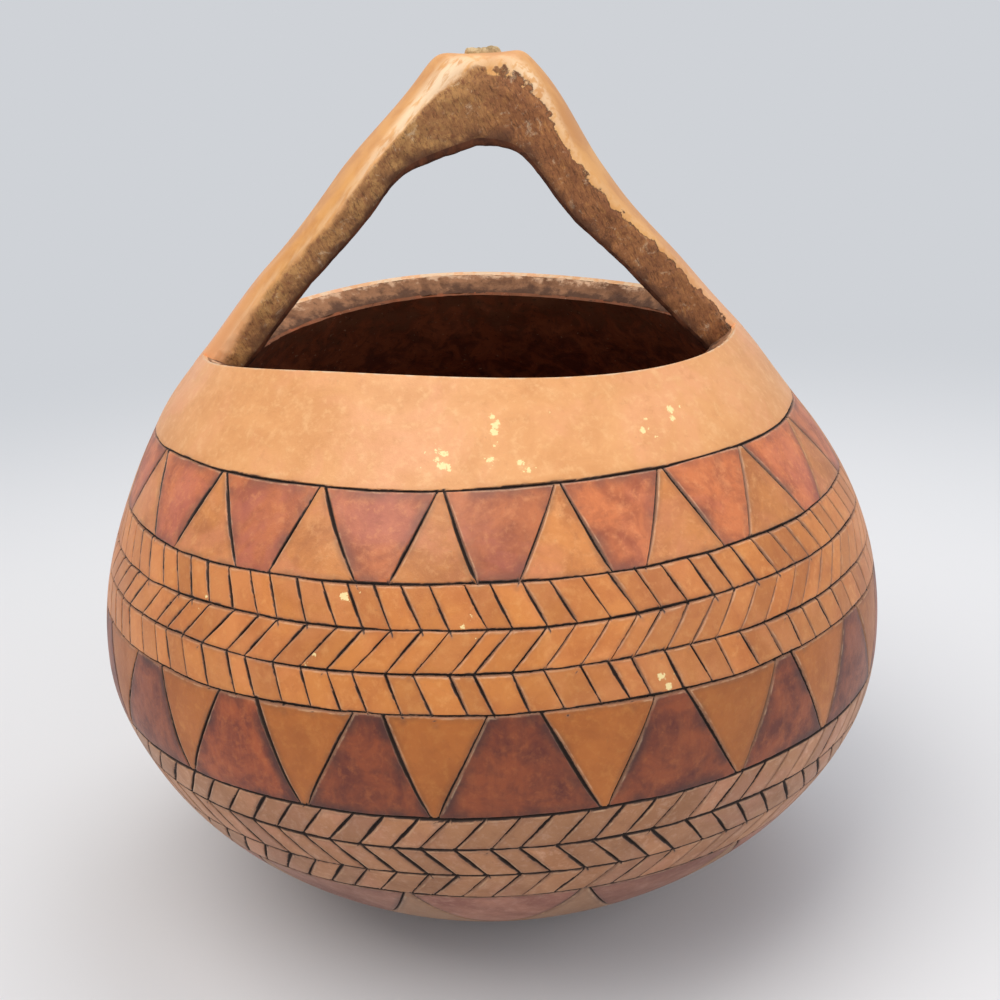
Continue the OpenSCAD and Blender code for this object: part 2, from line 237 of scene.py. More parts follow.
@dataclass(frozen=True)
class GourdForm:
    """The outer skin as the solids have it, and how nature and the saw depart from it, in millimetres."""

    belly_r: float
    belly_z: float = 84.0
    base_r: float = 25.0
    base_taper: float = 0.66
    shoulder_rise: float = 97.5
    neck_z: float = 140.0
    rim_z: float = 167.0
    collar_z: float = 145.0
    crown_edge_r: float = 18.8
    crown_edge_z: float = 230.0
    skin_t: float = 1.4
    wall_in: float = 8.4
    lining_t: float = 0.8
    # The saw line of the rim, as cosine and sine waves of one, two and three to the turn
    rim_waves: tuple = ((-2.0, -0.3), (1.9, -0.5), (0.0, -1.2))
    rim_drop: float = -0.3
    handle_settles: float = 18.0
    # The crown leans to the right, and the lower belly bulges a little the same way
    crown_lean: float = 4.0
    lean_from_z: float = 208.0
    lean_over: float = 25.0
    belly_bulge: float = 1.2
    bulge_full_z: float = 40.0
    bulge_falls_z: float = 60.0
    # The neck stands out on its left side near the rim, and a little on its right, under a dent
    left_bulge: float = 7.2
    right_bulge: float = 2.0
    right_dent: float = 1.6
    # How far under the rim these are widest, how far each spreads, and how high over them the dent lies
    under_rim: float = 4.0
    left_spread: tuple = (26.0, 22.0)
    right_spread: float = 12.0
    dent_rise: float = 35.0
    dent_depth: float = 0.3
    dent_size: float = 28.0

    def neck_r(self) -> float:
        """Radius where the shoulder runs into the straight neck."""
        return self.belly_r * math.sqrt(1 - ((self.neck_z - self.belly_z) / self.shoulder_rise) ** 2)

    def neck_slope(self) -> float:
        """Change of radius with height on the straight neck."""
        return (self.crown_edge_r - self.neck_r()) / (self.crown_edge_z - self.neck_z)

    def radius(self, z: np.ndarray) -> np.ndarray:
        """Radius of the skin at a height."""
        z = np.asarray(z, float)
        reach = self.belly_z / math.sqrt(1 - (self.base_r / self.belly_r) ** (1 / self.base_taper))
        below = np.clip((self.belly_z - z) / reach, 0, 1)
        above = np.clip((z - self.belly_z) / self.shoulder_rise, 0, 1)
        low = self.belly_r * (1 - below ** 2) ** self.base_taper
        high = self.belly_r * np.sqrt(1 - above ** 2)
        neck = self.neck_r() + self.neck_slope() * (z - self.neck_z)
        return np.where(z < self.belly_z, low, np.where(z < self.neck_z, high, neck))

    def lean(self, z: np.ndarray) -> np.ndarray:
        """Lean of the skin from upright at a height, in radians, positive where it widens upward."""
        z, step = np.asarray(z), 0.01
        return np.arctan((self.radius(z + step) - self.radius(np.maximum(z - step, 0))) / (2 * step))

    @lru_cache(maxsize=4)
    def slant_table(self) -> tuple[np.ndarray, np.ndarray]:
        """Heights from the base to the crown, and the distance along the skin up to each."""
        heights = np.linspace(0, 240, 2401)
        steps = np.hypot(np.diff(heights), np.diff(self.radius(heights)))
        return heights, np.concatenate([[0], np.cumsum(steps)])

    def slant(self, z: np.ndarray) -> np.ndarray:
        """Distance along the skin from the base up to a height."""
        heights, along = self.slant_table()
        return np.interp(z, heights, along)

    def height(self, slant: np.ndarray) -> np.ndarray:
        """Height that lies at a distance along the skin."""
        heights, along = self.slant_table()
        return np.interp(slant, along, heights)

    def place(self, angle: np.ndarray, z: np.ndarray, depth: np.ndarray) -> np.ndarray:
        """Points at a depth under the skin.

        Args:
            angle: Degrees round the body from the front, positive to the right.
            z: Height on the skin, in millimetres.
            depth: Depth under the skin, square to it.

        Returns:
            Points in millimetres, with the body's own unevenness.
        """
        lean, turn = self.lean(z), np.radians(angle)
        reach = self.radius(z) - depth * np.cos(lean)
        points = np.stack([reach * np.sin(turn), -reach * np.cos(turn), z + depth * np.sin(lean)], 1)
        return self.uneven(points)

    def uneven(self, points: np.ndarray) -> np.ndarray:
        """Adds the wavy rim, the lean of the crown, the bulge and the shallow dents to even points."""
        x, y, z = points.T
        turn = np.arctan2(x, -y)
        wave = self.rim_drop + sum(a * np.cos((k + 1) * turn) + b * np.sin((k + 1) * turn)
                                   for k, (a, b) in enumerate(self.rim_waves))
        share = smooth(self.collar_z, self.rim_z, z)
        share = share * (1 - smooth(self.rim_z, self.rim_z + self.handle_settles, z))
        low_side = smooth(0, self.bulge_full_z, z) * (1 - smooth(self.bulge_falls_z, self.belly_z, z))
        lean = self.crown_lean * smooth(self.lean_from_z, self.lean_from_z + self.lean_over, z)
        around = np.hypot(x, y)
        off = z - self.rim_z + self.under_rim
        left = self.left_bulge * np.exp(-(off / np.where(off < 0, *self.left_spread)) ** 2)
        # The inside of the wall stands out only half as far
        left = left * (1 - 0.5 * smooth(0, 9, self.radius(z) - around))
        right = self.right_bulge * np.exp(-(off / self.right_spread) ** 2)
        right = right - self.right_dent * np.exp(-((off - self.dent_rise) / self.right_spread) ** 2)
        sideways = x / np.maximum(around, 1e-6)
        bulge = right * smooth(0.2, 1, sideways) - left * smooth(0.45, 1, -sideways)
        out = np.stack([x + lean + self.belly_bulge * low_side + bulge, y, z + wave * share], 1)
        dents = self.dent_depth * (0.5 + 0.5 * grain(out, self.dent_size))
        inward = 1 - np.minimum(dents, around) / np.maximum(around, 1e-6)
        # The dents end under the rim, so that wall, skin and handle meet
        inward = np.where(z < self.rim_z - self.under_rim, inward, 1)
        out[:, :2] *= inward[:, None]
        return out


@dataclass(frozen=True)
class Cut:
    """One straight pass of the carving tool: places as angle and height, and how it was pressed."""

    start: tuple[float, float]
    end: tuple[float, float]
    half_width: float
    depth: float
    # How far its thin tail runs on past the end, in millimetres
    tail: float
    # How far over the cut its dark wall reaches, from -1 at the left lip to 1 at the right: a burnt core,
    # with painted shade on the wall turned from the light
    dark_to: float = 0.6
    # Share of its length at which it was pressed hardest
    swell: float = 0.3
    # Whether it keeps one width, as one of the short passes of a curve does
    steady: bool = False


@dataclass
class Carving:
    """All the cuts in the skin, in millimetres and degrees, and what they do to a place on it."""

    form: GourdForm
    rings: tuple[float, ...]
    cuts: list[Cut] = field(default_factory=list)
    ring_half_width: float = 0.44
    ring_depth: float = 0.75
    waver: float = 0.18
    waver_size: float = 6.0
    # Roughness of a cut's edges, and the sizes that it is made of
    rag: float = 0.07
    rag_layers: tuple = ((0.8, 0.0, 1.0), (2.6, 7.0, 0.6))
    reach: float = 4.5
    # Where the V of a cut is deepest, from -1 at its left lip to 1 at its right
    core: float = -0.25
    # How far outside a cut the pale lip lies, on its right or lower side, and how wide it is: chipped skin
    # with a painted highlight on the edge that faces the light
    lip_off: float = 0.1
    lip_w: float = 0.17
    # Waves of the hand along a ring line, in its place and in how hard it was pressed: size, number round
    # the body, and shift from one line to the next
    ring_swing: tuple = ((0.18, 5, 2.1), (0.13, 11, 1.3))
    ring_press: tuple = ((0.2, 7, 2.9), (0.16, 17, 0.7))

    def hand(self, waves: tuple, turn: np.ndarray, line: int, even: float) -> np.ndarray:
        """A value along a ring line, with the waves of the hand.

        Args:
            waves: Size, number round the body and shift of each wave.
            turn: Angle round the body in radians.
            line: The line's number from the top.
            even: The value without the waves.

        Returns:
            The value at each angle.
        """
        return sum((size * np.sin(count * turn + shift * line) for size, count, shift in waves), even)

    def score(self, found: dict[str, np.ndarray], which: np.ndarray, beside: np.ndarray, half: np.ndarray,
              depth: np.ndarray, dark_to: float) -> None:
        """Adds one cut to what has been found.

        Args:
            found: Depth, groove, dark, lip and off of every place, which this changes.
            which: The places that lie near the cut.
            beside: Their distance from the middle of the cut, positive on its right or lower side.
            half: Half the cut's width at each of them.
            depth: The cut's depth at each of them.
            dark_to: How far over the cut the dark wall reaches: burnt core and painted shade.
        """
        share = beside / half
        steep = np.where(share < self.core, (1 + share) / (1 + self.core), (1 - share) / (1 - self.core))
        into = np.clip(steep, 0, 1)
        # The dark wall is a burnt core with painted shade on the wall turned from the light; the pale lip
        # beside the cut is chipped skin with a painted highlight
        dark = smooth(0.02, 0.28, into) * (1 - smooth(dark_to - 0.3, dark_to + 0.25, share))
        lip = np.exp(-((beside - half - self.lip_off) / self.lip_w) ** 2)
        lip = lip * np.clip(depth / self.ring_depth, 0, 1)
        groove = smooth(0.0, 0.3, into)
        for name, value in {"depth": depth * into, "groove": groove, "dark": dark, "lip": lip}.items():
            found[name][which] = np.maximum(found[name][which], value)
        found["off"][which] = np.minimum(found["off"][which], np.abs(beside) - half)

    def marks(self, angle: np.ndarray, z: np.ndarray) -> dict[str, np.ndarray]:
        """What the carving does to places on the skin.

        Args:
            angle: Degrees round the body.
            z: Heights on the skin.

        Returns:
            For each place the depth cut away, how much it lies in a groove, how dark its wall is (burnt, with
            painted shade), how much it lies on a pale lip (chipped, with a painted highlight), and its
            distance outside the nearest lip.
        """
        even = self.form.place(angle, z, np.zeros(len(z)))
        rag = self.rag * layered(even, self.rag_layers)
        slant = self.form.slant(z) + self.waver * grain(even, self.waver_size, 3.0)
        found = {name: np.zeros(len(z)) for name in ("depth", "groove", "dark", "lip")}
        found["off"] = np.full(len(z), self.reach)
        turn = np.radians(angle)
        for number, line in enumerate(self.rings):
            swing = self.hand(self.ring_swing, turn, number, 0)
            press = self.hand(self.ring_press, turn, number, 1)
            beside = self.form.slant(line) + swing - slant
            near = np.flatnonzero(np.abs(beside) < self.reach)
            low_down = line < self.form.belly_z
            half = self.ring_half_width * press[near] * (1.2 if low_down else 1.0) + rag[near]
            # Above the belly only the upper wall of a ring line is dark, painted shade on the wall turned
            # from the light, and its lower wall stays pale; below the belly nearly all the groove is dark,
            # painted shade
            self.score(found, near, beside[near], half, self.ring_depth * press[near],
                       0.9 if low_down else 0.2)
        round_angle = angle % 360
        order = np.argsort(round_angle, kind="stable")
        in_order = round_angle[order]
        for cut in self.cuts:
            self.score_cut(found, cut, angle, slant, rag, order, in_order)
        found["off"] = np.clip(found["off"], 0, self.reach)
        return found

    def score_cut(self, found: dict[str, np.ndarray], cut: Cut, angle: np.ndarray, slant: np.ndarray,
                  rag: np.ndarray, order: np.ndarray, in_order: np.ndarray) -> None:
        """Adds one pass of the tool to what has been found.

        Args:
            found: The arrays that marks returns, which this changes.
            cut: The pass.
            angle: Degrees round the body of every place.
            slant: Distance up the skin of every place, with the waver of the hand.
            rag: Roughness of the cut's edges at every place.
            order: The places sorted by their angle from 0 to 360.
            in_order: Those angles.
        """
        start, end = float(self.form.slant(cut.start[1])), float(self.form.slant(cut.end[1]))
        low, high = min(start, end) - self.reach, max(start, end) + self.reach
        if high < slant.min() or low > slant.max():
            return
        radius = float(self.form.radius((cut.start[1] + cut.end[1]) / 2))
        pad = math.degrees(self.reach / radius)
        first = (min(cut.start[0], cut.end[0]) - pad) % 360
        last = first + abs(cut.end[0] - cut.start[0]) + 2 * pad
        a, b = np.searchsorted(in_order, [first, last])
        which = order[a:b]
        if last > 360:
            which = np.concatenate([which, order[:np.searchsorted(in_order, last - 360)]])
        which = which[(slant[which] > low) & (slant[which] < high)]
        near = (angle[which] - cut.start[0] + 180) % 360 - 180
        across, along = np.radians(near) * radius, slant[which] - start
        run = np.array([math.radians(cut.end[0] - cut.start[0]) * radius, end - start])
        length = float(np.hypot(*run))
        way = run / length
        travel = across * way[0] + along * way[1]
        held = np.clip(travel, 0, length + cut.tail)
        right = along * way[0] - across * way[1]
        beside = np.copysign(np.hypot(across - held * way[0], along - held * way[1]), right)
        press = np.ones(len(which))
        if not cut.steady:
            share = np.clip(travel / length, 0, 1)
            press = 0.55 + 0.45 * np.exp(-((share - cut.swell) / 0.38) ** 2)
            press = press * (1 - 0.8 * smooth(0.88 * length, length + cut.tail, travel))
        half = np.maximum(cut.half_width * press + rag[which], 0.05)
        self.score(found, which, beside, half, cut.depth * press, cut.dark_to)


@dataclass
class SkinSheet:
    """Turns a flat sheet of skin into a solid piece.

    The sheet has the angle times a scale as its X, and the distance up the skin as its Y.
    """

    form: GourdForm
    carving: Carving
    # How far the edge of a field goes down under the bottom of a cut, in millimetres
    edge_drop: float = 0.6

    def scale(self, z: float) -> float:
        """Flat millimetres to one degree, for a sheet whose middle lies at a height."""
        return math.radians(1) * float(self.form.radius(z))

    def wrap(self, mesh: Mesh, scale: float) -> None:
        """Wraps a flat mesh round the gourd, carves it and records how each place is cut, with the painted
        shade of the cut walls and the painted highlight of their lips.

        Args:
            mesh: The flat mesh in millimetres.
            scale: Flat millimetres to one degree.
        """
        flat = places_of(mesh)
        angle, z = flat[:, 0] / scale, self.form.height(flat[:, 1])
        found = self.carving.marks(angle, z)
        set_places(mesh, self.form.place(angle, z, found.pop("depth")))
        record_values(mesh, found)

    def sink(self, mesh: Mesh, by: float, rings: bool) -> None:
        """Gives the sheet its thickness: drops its outline square to the skin and closes the back.

        Args:
            mesh: The wrapped mesh in metres.
            by: How far the outline drops, in millimetres.
            rings: Whether the sheet goes all the way round.
        """
        bmesh.ops.remove_doubles(mesh, verts=mesh.verts, dist=2e-6)
        outline = [e for e in mesh.edges if e.is_boundary]
        made = bmesh.ops.extrude_edge_only(mesh, edges=outline)["geom"]
        fresh = [g for g in made if isinstance(g, bmesh.types.BMVert)]
        for v, lean in zip(fresh, self.form.lean(np.array([v.co.z for v in fresh]) / MM)):
            across = Vector((v.co.x, v.co.y, 0)).normalized()
            v.co += (Vector((0, 0, math.sin(lean))) - across * math.cos(lean)) * by * MM
        new_edges = [g for g in made if isinstance(g, bmesh.types.BMEdge)]
        if rings:
            bmesh.ops.bridge_loops(mesh, edges=new_edges)
        else:
            bmesh.ops.holes_fill(mesh, edges=new_edges, sides=0)
        bmesh.ops.recalc_face_normals(mesh, faces=mesh.faces)


def finish_piece(mesh: Mesh, name: str, material: Material,
                 nodes: tuple[str, ...], crease: float = 50.0) -> Piece:
    """Makes an object of a mesh, smooths it and ties it to the frame.

    Args:
        mesh: The mesh in metres, in the frame's own place.
        name: The piece's name.
        material: Its finish.
        nodes: The solids that it stands for.
        crease: Angle in degrees above which an edge stays sharp.

    Returns:
        The object.
    """
    for face in mesh.faces:
        face.smooth = True
    for edge in mesh.edges:
        edge.smooth = not (len(edge.link_faces) == 2 and edge.calc_face_angle(0) > math.radians(crease))
    data = bpy.data.meshes.new(name)
    mesh.to_mesh(data)
    mesh.free()
    piece = bpy.data.objects.new(name, data)
    bpy.context.scene.collection.objects.link(piece)
    data.materials.append(material)
    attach(piece, "root")
    if nodes:
        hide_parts(*nodes)
    LOG.info("%s: %d faces", name, len(data.polygons))
    return piece


@dataclass
class CarvedBand:
    """A band between two ring lines that straight cuts part into cells."""

    sheet: SkinSheet
    top: float
    bottom: float
    # Angle of each cut at the top and at the bottom line, in order round the body
    sides: list[tuple[float, float]]
    # Widths of the rings of faces that follow each cell's edge inward, in millimetres
    rings: tuple[float, ...] = (0.15, 0.17, 0.2, 0.26, 0.36, 0.5)
    pieces_along: int = 16

    def flat(self, scale: float) -> Mesh:
        """Lays the cells out flat, each with rings of faces along its edges and an even grid inside."""
        form, count = self.sheet.form, len(self.sides)
        mesh = bmesh.new()
        unit_grid(mesh, count, 1)
        closed = self.sides + [(self.sides[0][0] + 360, self.sides[0][1] + 360)]
        high, low = float(form.slant(self.top)), float(form.slant(self.bottom))
        for v in mesh.verts:
            top, bottom = closed[round((v.co.x + 0.5) * count)]
            v.co = (scale * top, high, 0) if v.co.y > 0 else (scale * bottom, low, 0)
        level, cell = mesh.verts.layers.int.new("level"), mesh.faces.layers.int.new("cell")
        cells = sorted(mesh.faces, key=lambda f: f.calc_center_median().x)
        for number, face in enumerate(cells):
            face[cell] = number
        for number, width in enumerate(self.rings):
            bmesh.ops.inset_individual(mesh, faces=cells, thickness=width, use_even_offset=True)
            for v in (v for face in cells for v in face.verts):
                v[level] = number + 1
        along = [e for e in mesh.edges if e.verts[0][level] == e.verts[1][level]]
        bmesh.ops.subdivide_edges(mesh, edges=along, cuts=self.pieces_along, use_grid_fill=True)
        return mesh

    def piece(self, name: str, material: Material, slot: str, node: str,
              part: Field = Field.ALL) -> Piece:
        """Makes the band, or only its triangles or panels, as one piece.

        Args:
            name: The piece's name.
            material: Its finish.
            slot: The record's material slot; not used.
            node: The solid that it stands for.
            part: Which cells it holds.

        Returns:
            The object.
        """
        scale = self.sheet.scale((self.top + self.bottom) / 2)
        mesh = self.flat(scale)
        cell = mesh.faces.layers.int["cell"]
        if part is not Field.ALL:
            kept = 0 if part is Field.TRIANGLES else 1
            others = [f for f in mesh.faces if f[cell] % 2 != kept]
            bmesh.ops.delete(mesh, geom=others, context="FACES")
        draw = random.Random(f"{name}{SEED}")
        tones = [draw.random() for _ in self.sides]
        tone = mesh.faces.layers.float.new("tone")
        for face in mesh.faces:
            face[tone] = tones[face[cell]]
        self.sheet.wrap(mesh, scale)
        self.sheet.sink(mesh, self.sheet.edge_drop, part is Field.ALL)
        return finish_piece(mesh, name, material, (node,))


@dataclass
class Collar:
    """The plain band under the rim, down to the first ring line."""

    sheet: SkinSheet
    top: float
    bottom: float
    columns: int = 720
    # Half the width over which the skin runs on into the handle, with no sawn lip
    strap_half: float = 12.5
    # Distances of the first rows above the ring line, which the V of its cut needs
    fine_rows: tuple[float, ...] = (0.0, 0.15, 0.31, 0.5, 0.75)
    rows: int = 26
    # How pale the sawn edge of the rim is, where 1 is the lip of a cut
    rim_lip: float = 3.0

    def piece(self, material: Material) -> Piece:
        """Makes the collar, with rows packed near the ring line and near the rim."""
        form = self.sheet.form
        low, high = float(form.slant(self.bottom)), float(form.slant(self.top))
        start = self.fine_rows[-1] + 0.3
        places = list(self.fine_rows) + [start + p for p in edge_packed(self.rows, high - low - start)]
        count = len(places) - 1
        mesh = bmesh.new()
        scale = self.sheet.scale((self.top + self.bottom) / 2)
        for v in unit_grid(mesh, self.columns, count):
            v.co = (v.co.x * 360 * scale, low + places[round((v.co.y + 0.5) * count)], 0)
        at_rim = [v.co.y > high - 0.01 for v in mesh.verts]
        self.sheet.wrap(mesh, scale)
        lip = mesh.verts.layers.float["lip"]
        for v, on_edge in zip(mesh.verts, at_rim):
            if on_edge:
                v[lip] = self.rim_lip if abs(v.co.y) > self.strap_half * MM else 0
        self.sheet.sink(mesh, form.skin_t, True)
        return finish_piece(mesh, "collar", material, ("collar_skin",))


def edge_packed(count: int, length: float, packed: float = 2.2) -> list[float]:
    """Places from 0 to length, closer together near both ends.

    Args:
        count: Number of stretches.
        length: The whole length.
        packed: How much closer the end places are, 1 for even places.

    Returns:
        The places in order.
    """
    shares = [i / count for i in range(count + 1)]
    eased = [0.5 - 0.5 * math.cos(math.pi * s) for s in shares]
    mix = 1 - 1 / packed
    return [length * ((1 - mix) * s + mix * e) for s, e in zip(shares, eased)]


@dataclass
class FootBand:
    """The scallops under the last ring line, and the plain skin between and below them."""

    sheet: SkinSheet
    top: float
    scallop_h: float = 22.0
    scallop_w: float = 41.8
    count: int = 14
    phase: float = -2.3
    # Stretches over a scallop, down it, along each short way between two, and down the base
    across: int = 60
    down: int = 40
    between: int = 3
    base_down: int = 36

    def outline(self, share: float) -> tuple[float, float]:
        """A point of a scallop's curve, at a share of its half width from its middle, -1 for its left end."""
        half = math.degrees(self.scallop_w / 2 / float(self.sheet.form.radius(self.top)))
        return half * share, self.top - self.scallop_h * (1 - share ** 2)

    def cuts(self, draw: random.Random) -> list[Cut]:
        """The curved cuts as short straight passes."""
        passes, steps = [], 24
        for number in range(self.count):
            turn = self.phase + number * 360 / self.count
            weight = draw.uniform(0.38, 0.5)
            points = [self.outline(1 - 2 * i / steps) for i in range(steps + 1)]
            passes += [Cut((turn + a[0], a[1]), (turn + b[0], b[1]), weight, 0.65, 0.0, 1.0, steady=True)
                       for a, b in zip(points, points[1:])]
        return passes

    def scallops(self, material: Material) -> Piece:
        """The dyed scallops, each a grid bent to fill the curve."""
        mesh = bmesh.new()
        form = self.sheet.form
        scale = self.sheet.scale(self.top - self.scallop_h / 2)
        tone = mesh.faces.layers.float.new("tone")
        places_x, places_y = edge_packed(self.across, 1.0), edge_packed(self.down, 1.0, 4.0)
        draw = random.Random(f"scallops{SEED}")
        for number in range(self.count):
            grid = unit_grid(mesh, self.across, self.down)
            turn, shade = self.phase + number * 360 / self.count, draw.random()
            for v in grid:
                angle, z = self.outline(2 * places_x[round((v.co.x + 0.5) * self.across)] - 1)
                down = places_y[round((0.5 - v.co.y) * self.down)]
                v.co = (scale * (turn + angle), float(form.slant(self.top + (z - self.top) * down)), 0)
            for face in {f for v in grid for f in v.link_faces}:
                face[tone] = shade
        self.sheet.wrap(mesh, scale)
        self.sheet.sink(mesh, self.sheet.edge_drop, False)
        return finish_piece(mesh, "scallops", material, ("scallop_panels",))

    def base(self, material: Material) -> Piece:
        """The plain skin from the scallops down to the edge of the flat."""
        mesh = bmesh.new()
        form = self.sheet.form
        scale = self.sheet.scale(self.top - self.scallop_h / 2)
        sector, gap = 360 / self.count, self.between
        columns = self.across + 2 * gap
        places, rows = edge_packed(self.across, 1.0), edge_packed(self.base_down, 1.0, 1.8)
        for number in range(self.count):
            turn = self.phase + number * sector
            for v in unit_grid(mesh, columns, self.base_down):
                column, row = round((v.co.x + 0.5) * columns), round((0.5 - v.co.y) * self.base_down)
                angle, z = self.outline(2 * places[min(max(column - gap, 0), self.across)] - 1)
                if column < gap:
                    angle += (sector / 2 + angle) * -(gap - column) / gap
                if column > gap + self.across:
                    angle += (sector / 2 - angle) * (column - gap - self.across) / gap
                v.co = (scale * (turn + angle), float(form.slant(z)) * (1 - rows[row]), 0)
        self.sheet.wrap(mesh, scale)
        self.sheet.sink(mesh, self.sheet.edge_drop, True)
        return finish_piece(mesh, "base", material, ("base_skin",))


@dataclass
class Shell:
    """The woody wall under the skin and the dried pith that lines it, each turned from a section."""

    form: GourdForm
    steps: int = 600
    flat_r: float = 25.0
    scar_r: float = 5.0
    scar_deep: float = 2.0
    saw_rough: float = 0.28
    saw_layers: tuple = ((2.2, 1.0, 1.0), (0.9, 2.0, 0.7))
    # Depths under the rim between which the saw's roughness starts, and the least radius that has it
    saw_starts: tuple = (8.5, 6.0)
    saw_from_r: float = 45.0
    pith_rough: float = 0.7
    pith_layers: tuple = ((6.0, 4.0, 1.0), (2.2, 9.0, 0.6))
    # How far below the rim the pith was scraped away, more or less
    scraped_h: float = 30.0
    wall_nodes: tuple[str, ...] = ("bowl_wall", "wall_seat", "wall_foot", "wall_shoulder", "wall_neck")

    def turned(self, section: list[tuple[float, float]]) -> Mesh:
        """Spins a section in millimetres, as radius and height, into a closed solid."""
        mesh = bmesh.new()
        verts = [mesh.verts.new((0, -r, z)) for r, z in section]
        edges = [mesh.edges.new(pair) for pair in zip(verts, verts[1:])]
        bmesh.ops.spin(mesh, geom=verts + edges, cent=(0, 0, 0), axis=(0, 0, 1), angle=2 * math.pi,
                       steps=self.steps, use_merge=True, use_duplicate=False)
        bmesh.ops.remove_doubles(mesh, verts=mesh.verts, dist=1e-4)
        bmesh.ops.recalc_face_normals(mesh, faces=mesh.faces)
        return mesh

    def under(self, z: float, depth: float) -> tuple[float, float]:
        """Radius and height of the point at a depth under the skin."""
        lean = float(self.form.lean(z))
        return float(self.form.radius(z)) - depth * math.cos(lean), z + depth * math.sin(lean)

    def wall(self, material: Material) -> Piece:
        """The wall, whose saw-cut top shows all round the mouth."""
        form = self.form
        heights = [float(z) for z in np.linspace(0.2, form.rim_z, 40)]
        across = [form.skin_t + (form.wall_in - form.skin_t) * i / 10 for i in range(11)]
        section = [(0, self.scar_deep), (self.scar_r, self.scar_deep), (self.scar_r, 0)]
        section += [(self.flat_r - 1.5, 0)]
        section += [self.under(z, form.skin_t) for z in heights[:-1]]
        section += [self.under(form.rim_z, depth) for depth in across]
        section += [self.under(z, form.wall_in) for z in reversed(heights[:-1])]
        section += [(0, section[-1][1])]
        mesh = self.turned(section)
        even = places_of(mesh)
        out = form.uneven(even)
        around = np.hypot(even[:, 0], even[:, 1])
        # Only the sawn top is rough, and not the floor of the bowl
        low, high = (form.rim_z - depth for depth in self.saw_starts)
        near = smooth(low, high, even[:, 2]) * (around > self.saw_from_r)
        out[:, 2] += self.saw_rough * layered(out, self.saw_layers) * near
        into = (form.radius(form.rim_z) - around) / math.cos(float(form.lean(form.rim_z)))
        set_places(mesh, out)
        record_values(mesh, {"deep": into / form.wall_in})
        return finish_piece(mesh, "wall", material, self.wall_nodes)

    def pith(self, material: Material) -> Piece:
        """The rough lining, thick enough to show as a dark edge inside the rim."""
        form = self.form
        inner = form.wall_in + form.lining_t
        heights = [float(z) for z in (*np.linspace(1, 60, 16), *np.linspace(61.5, form.rim_z, 70))]
        section = [self.under(z, inner) for z in heights]
        section += [self.under(z, form.wall_in - 0.3) for z in reversed(heights)]
        section = [(0, section[0][1])] + section + [(0, section[-1][1])]
        mesh = self.turned(section)
        even = places_of(mesh)
        out = form.uneven(even)
        around = np.hypot(even[:, 0], even[:, 1])
        lumps = self.pith_rough * layered(out, self.pith_layers)
        lumps = np.clip(lumps, -0.55, 0.9) * (around > 1)
        out[:, :2] -= out[:, :2] / np.maximum(around, 1)[:, None] * (lumps * 0.9)[:, None]
        set_places(mesh, out)
        record_values(mesh, {"scraped": 1 - (form.rim_z - even[:, 2]) / self.scraped_h})
        return finish_piece(mesh, "pith", material, ("bowl_lining",))


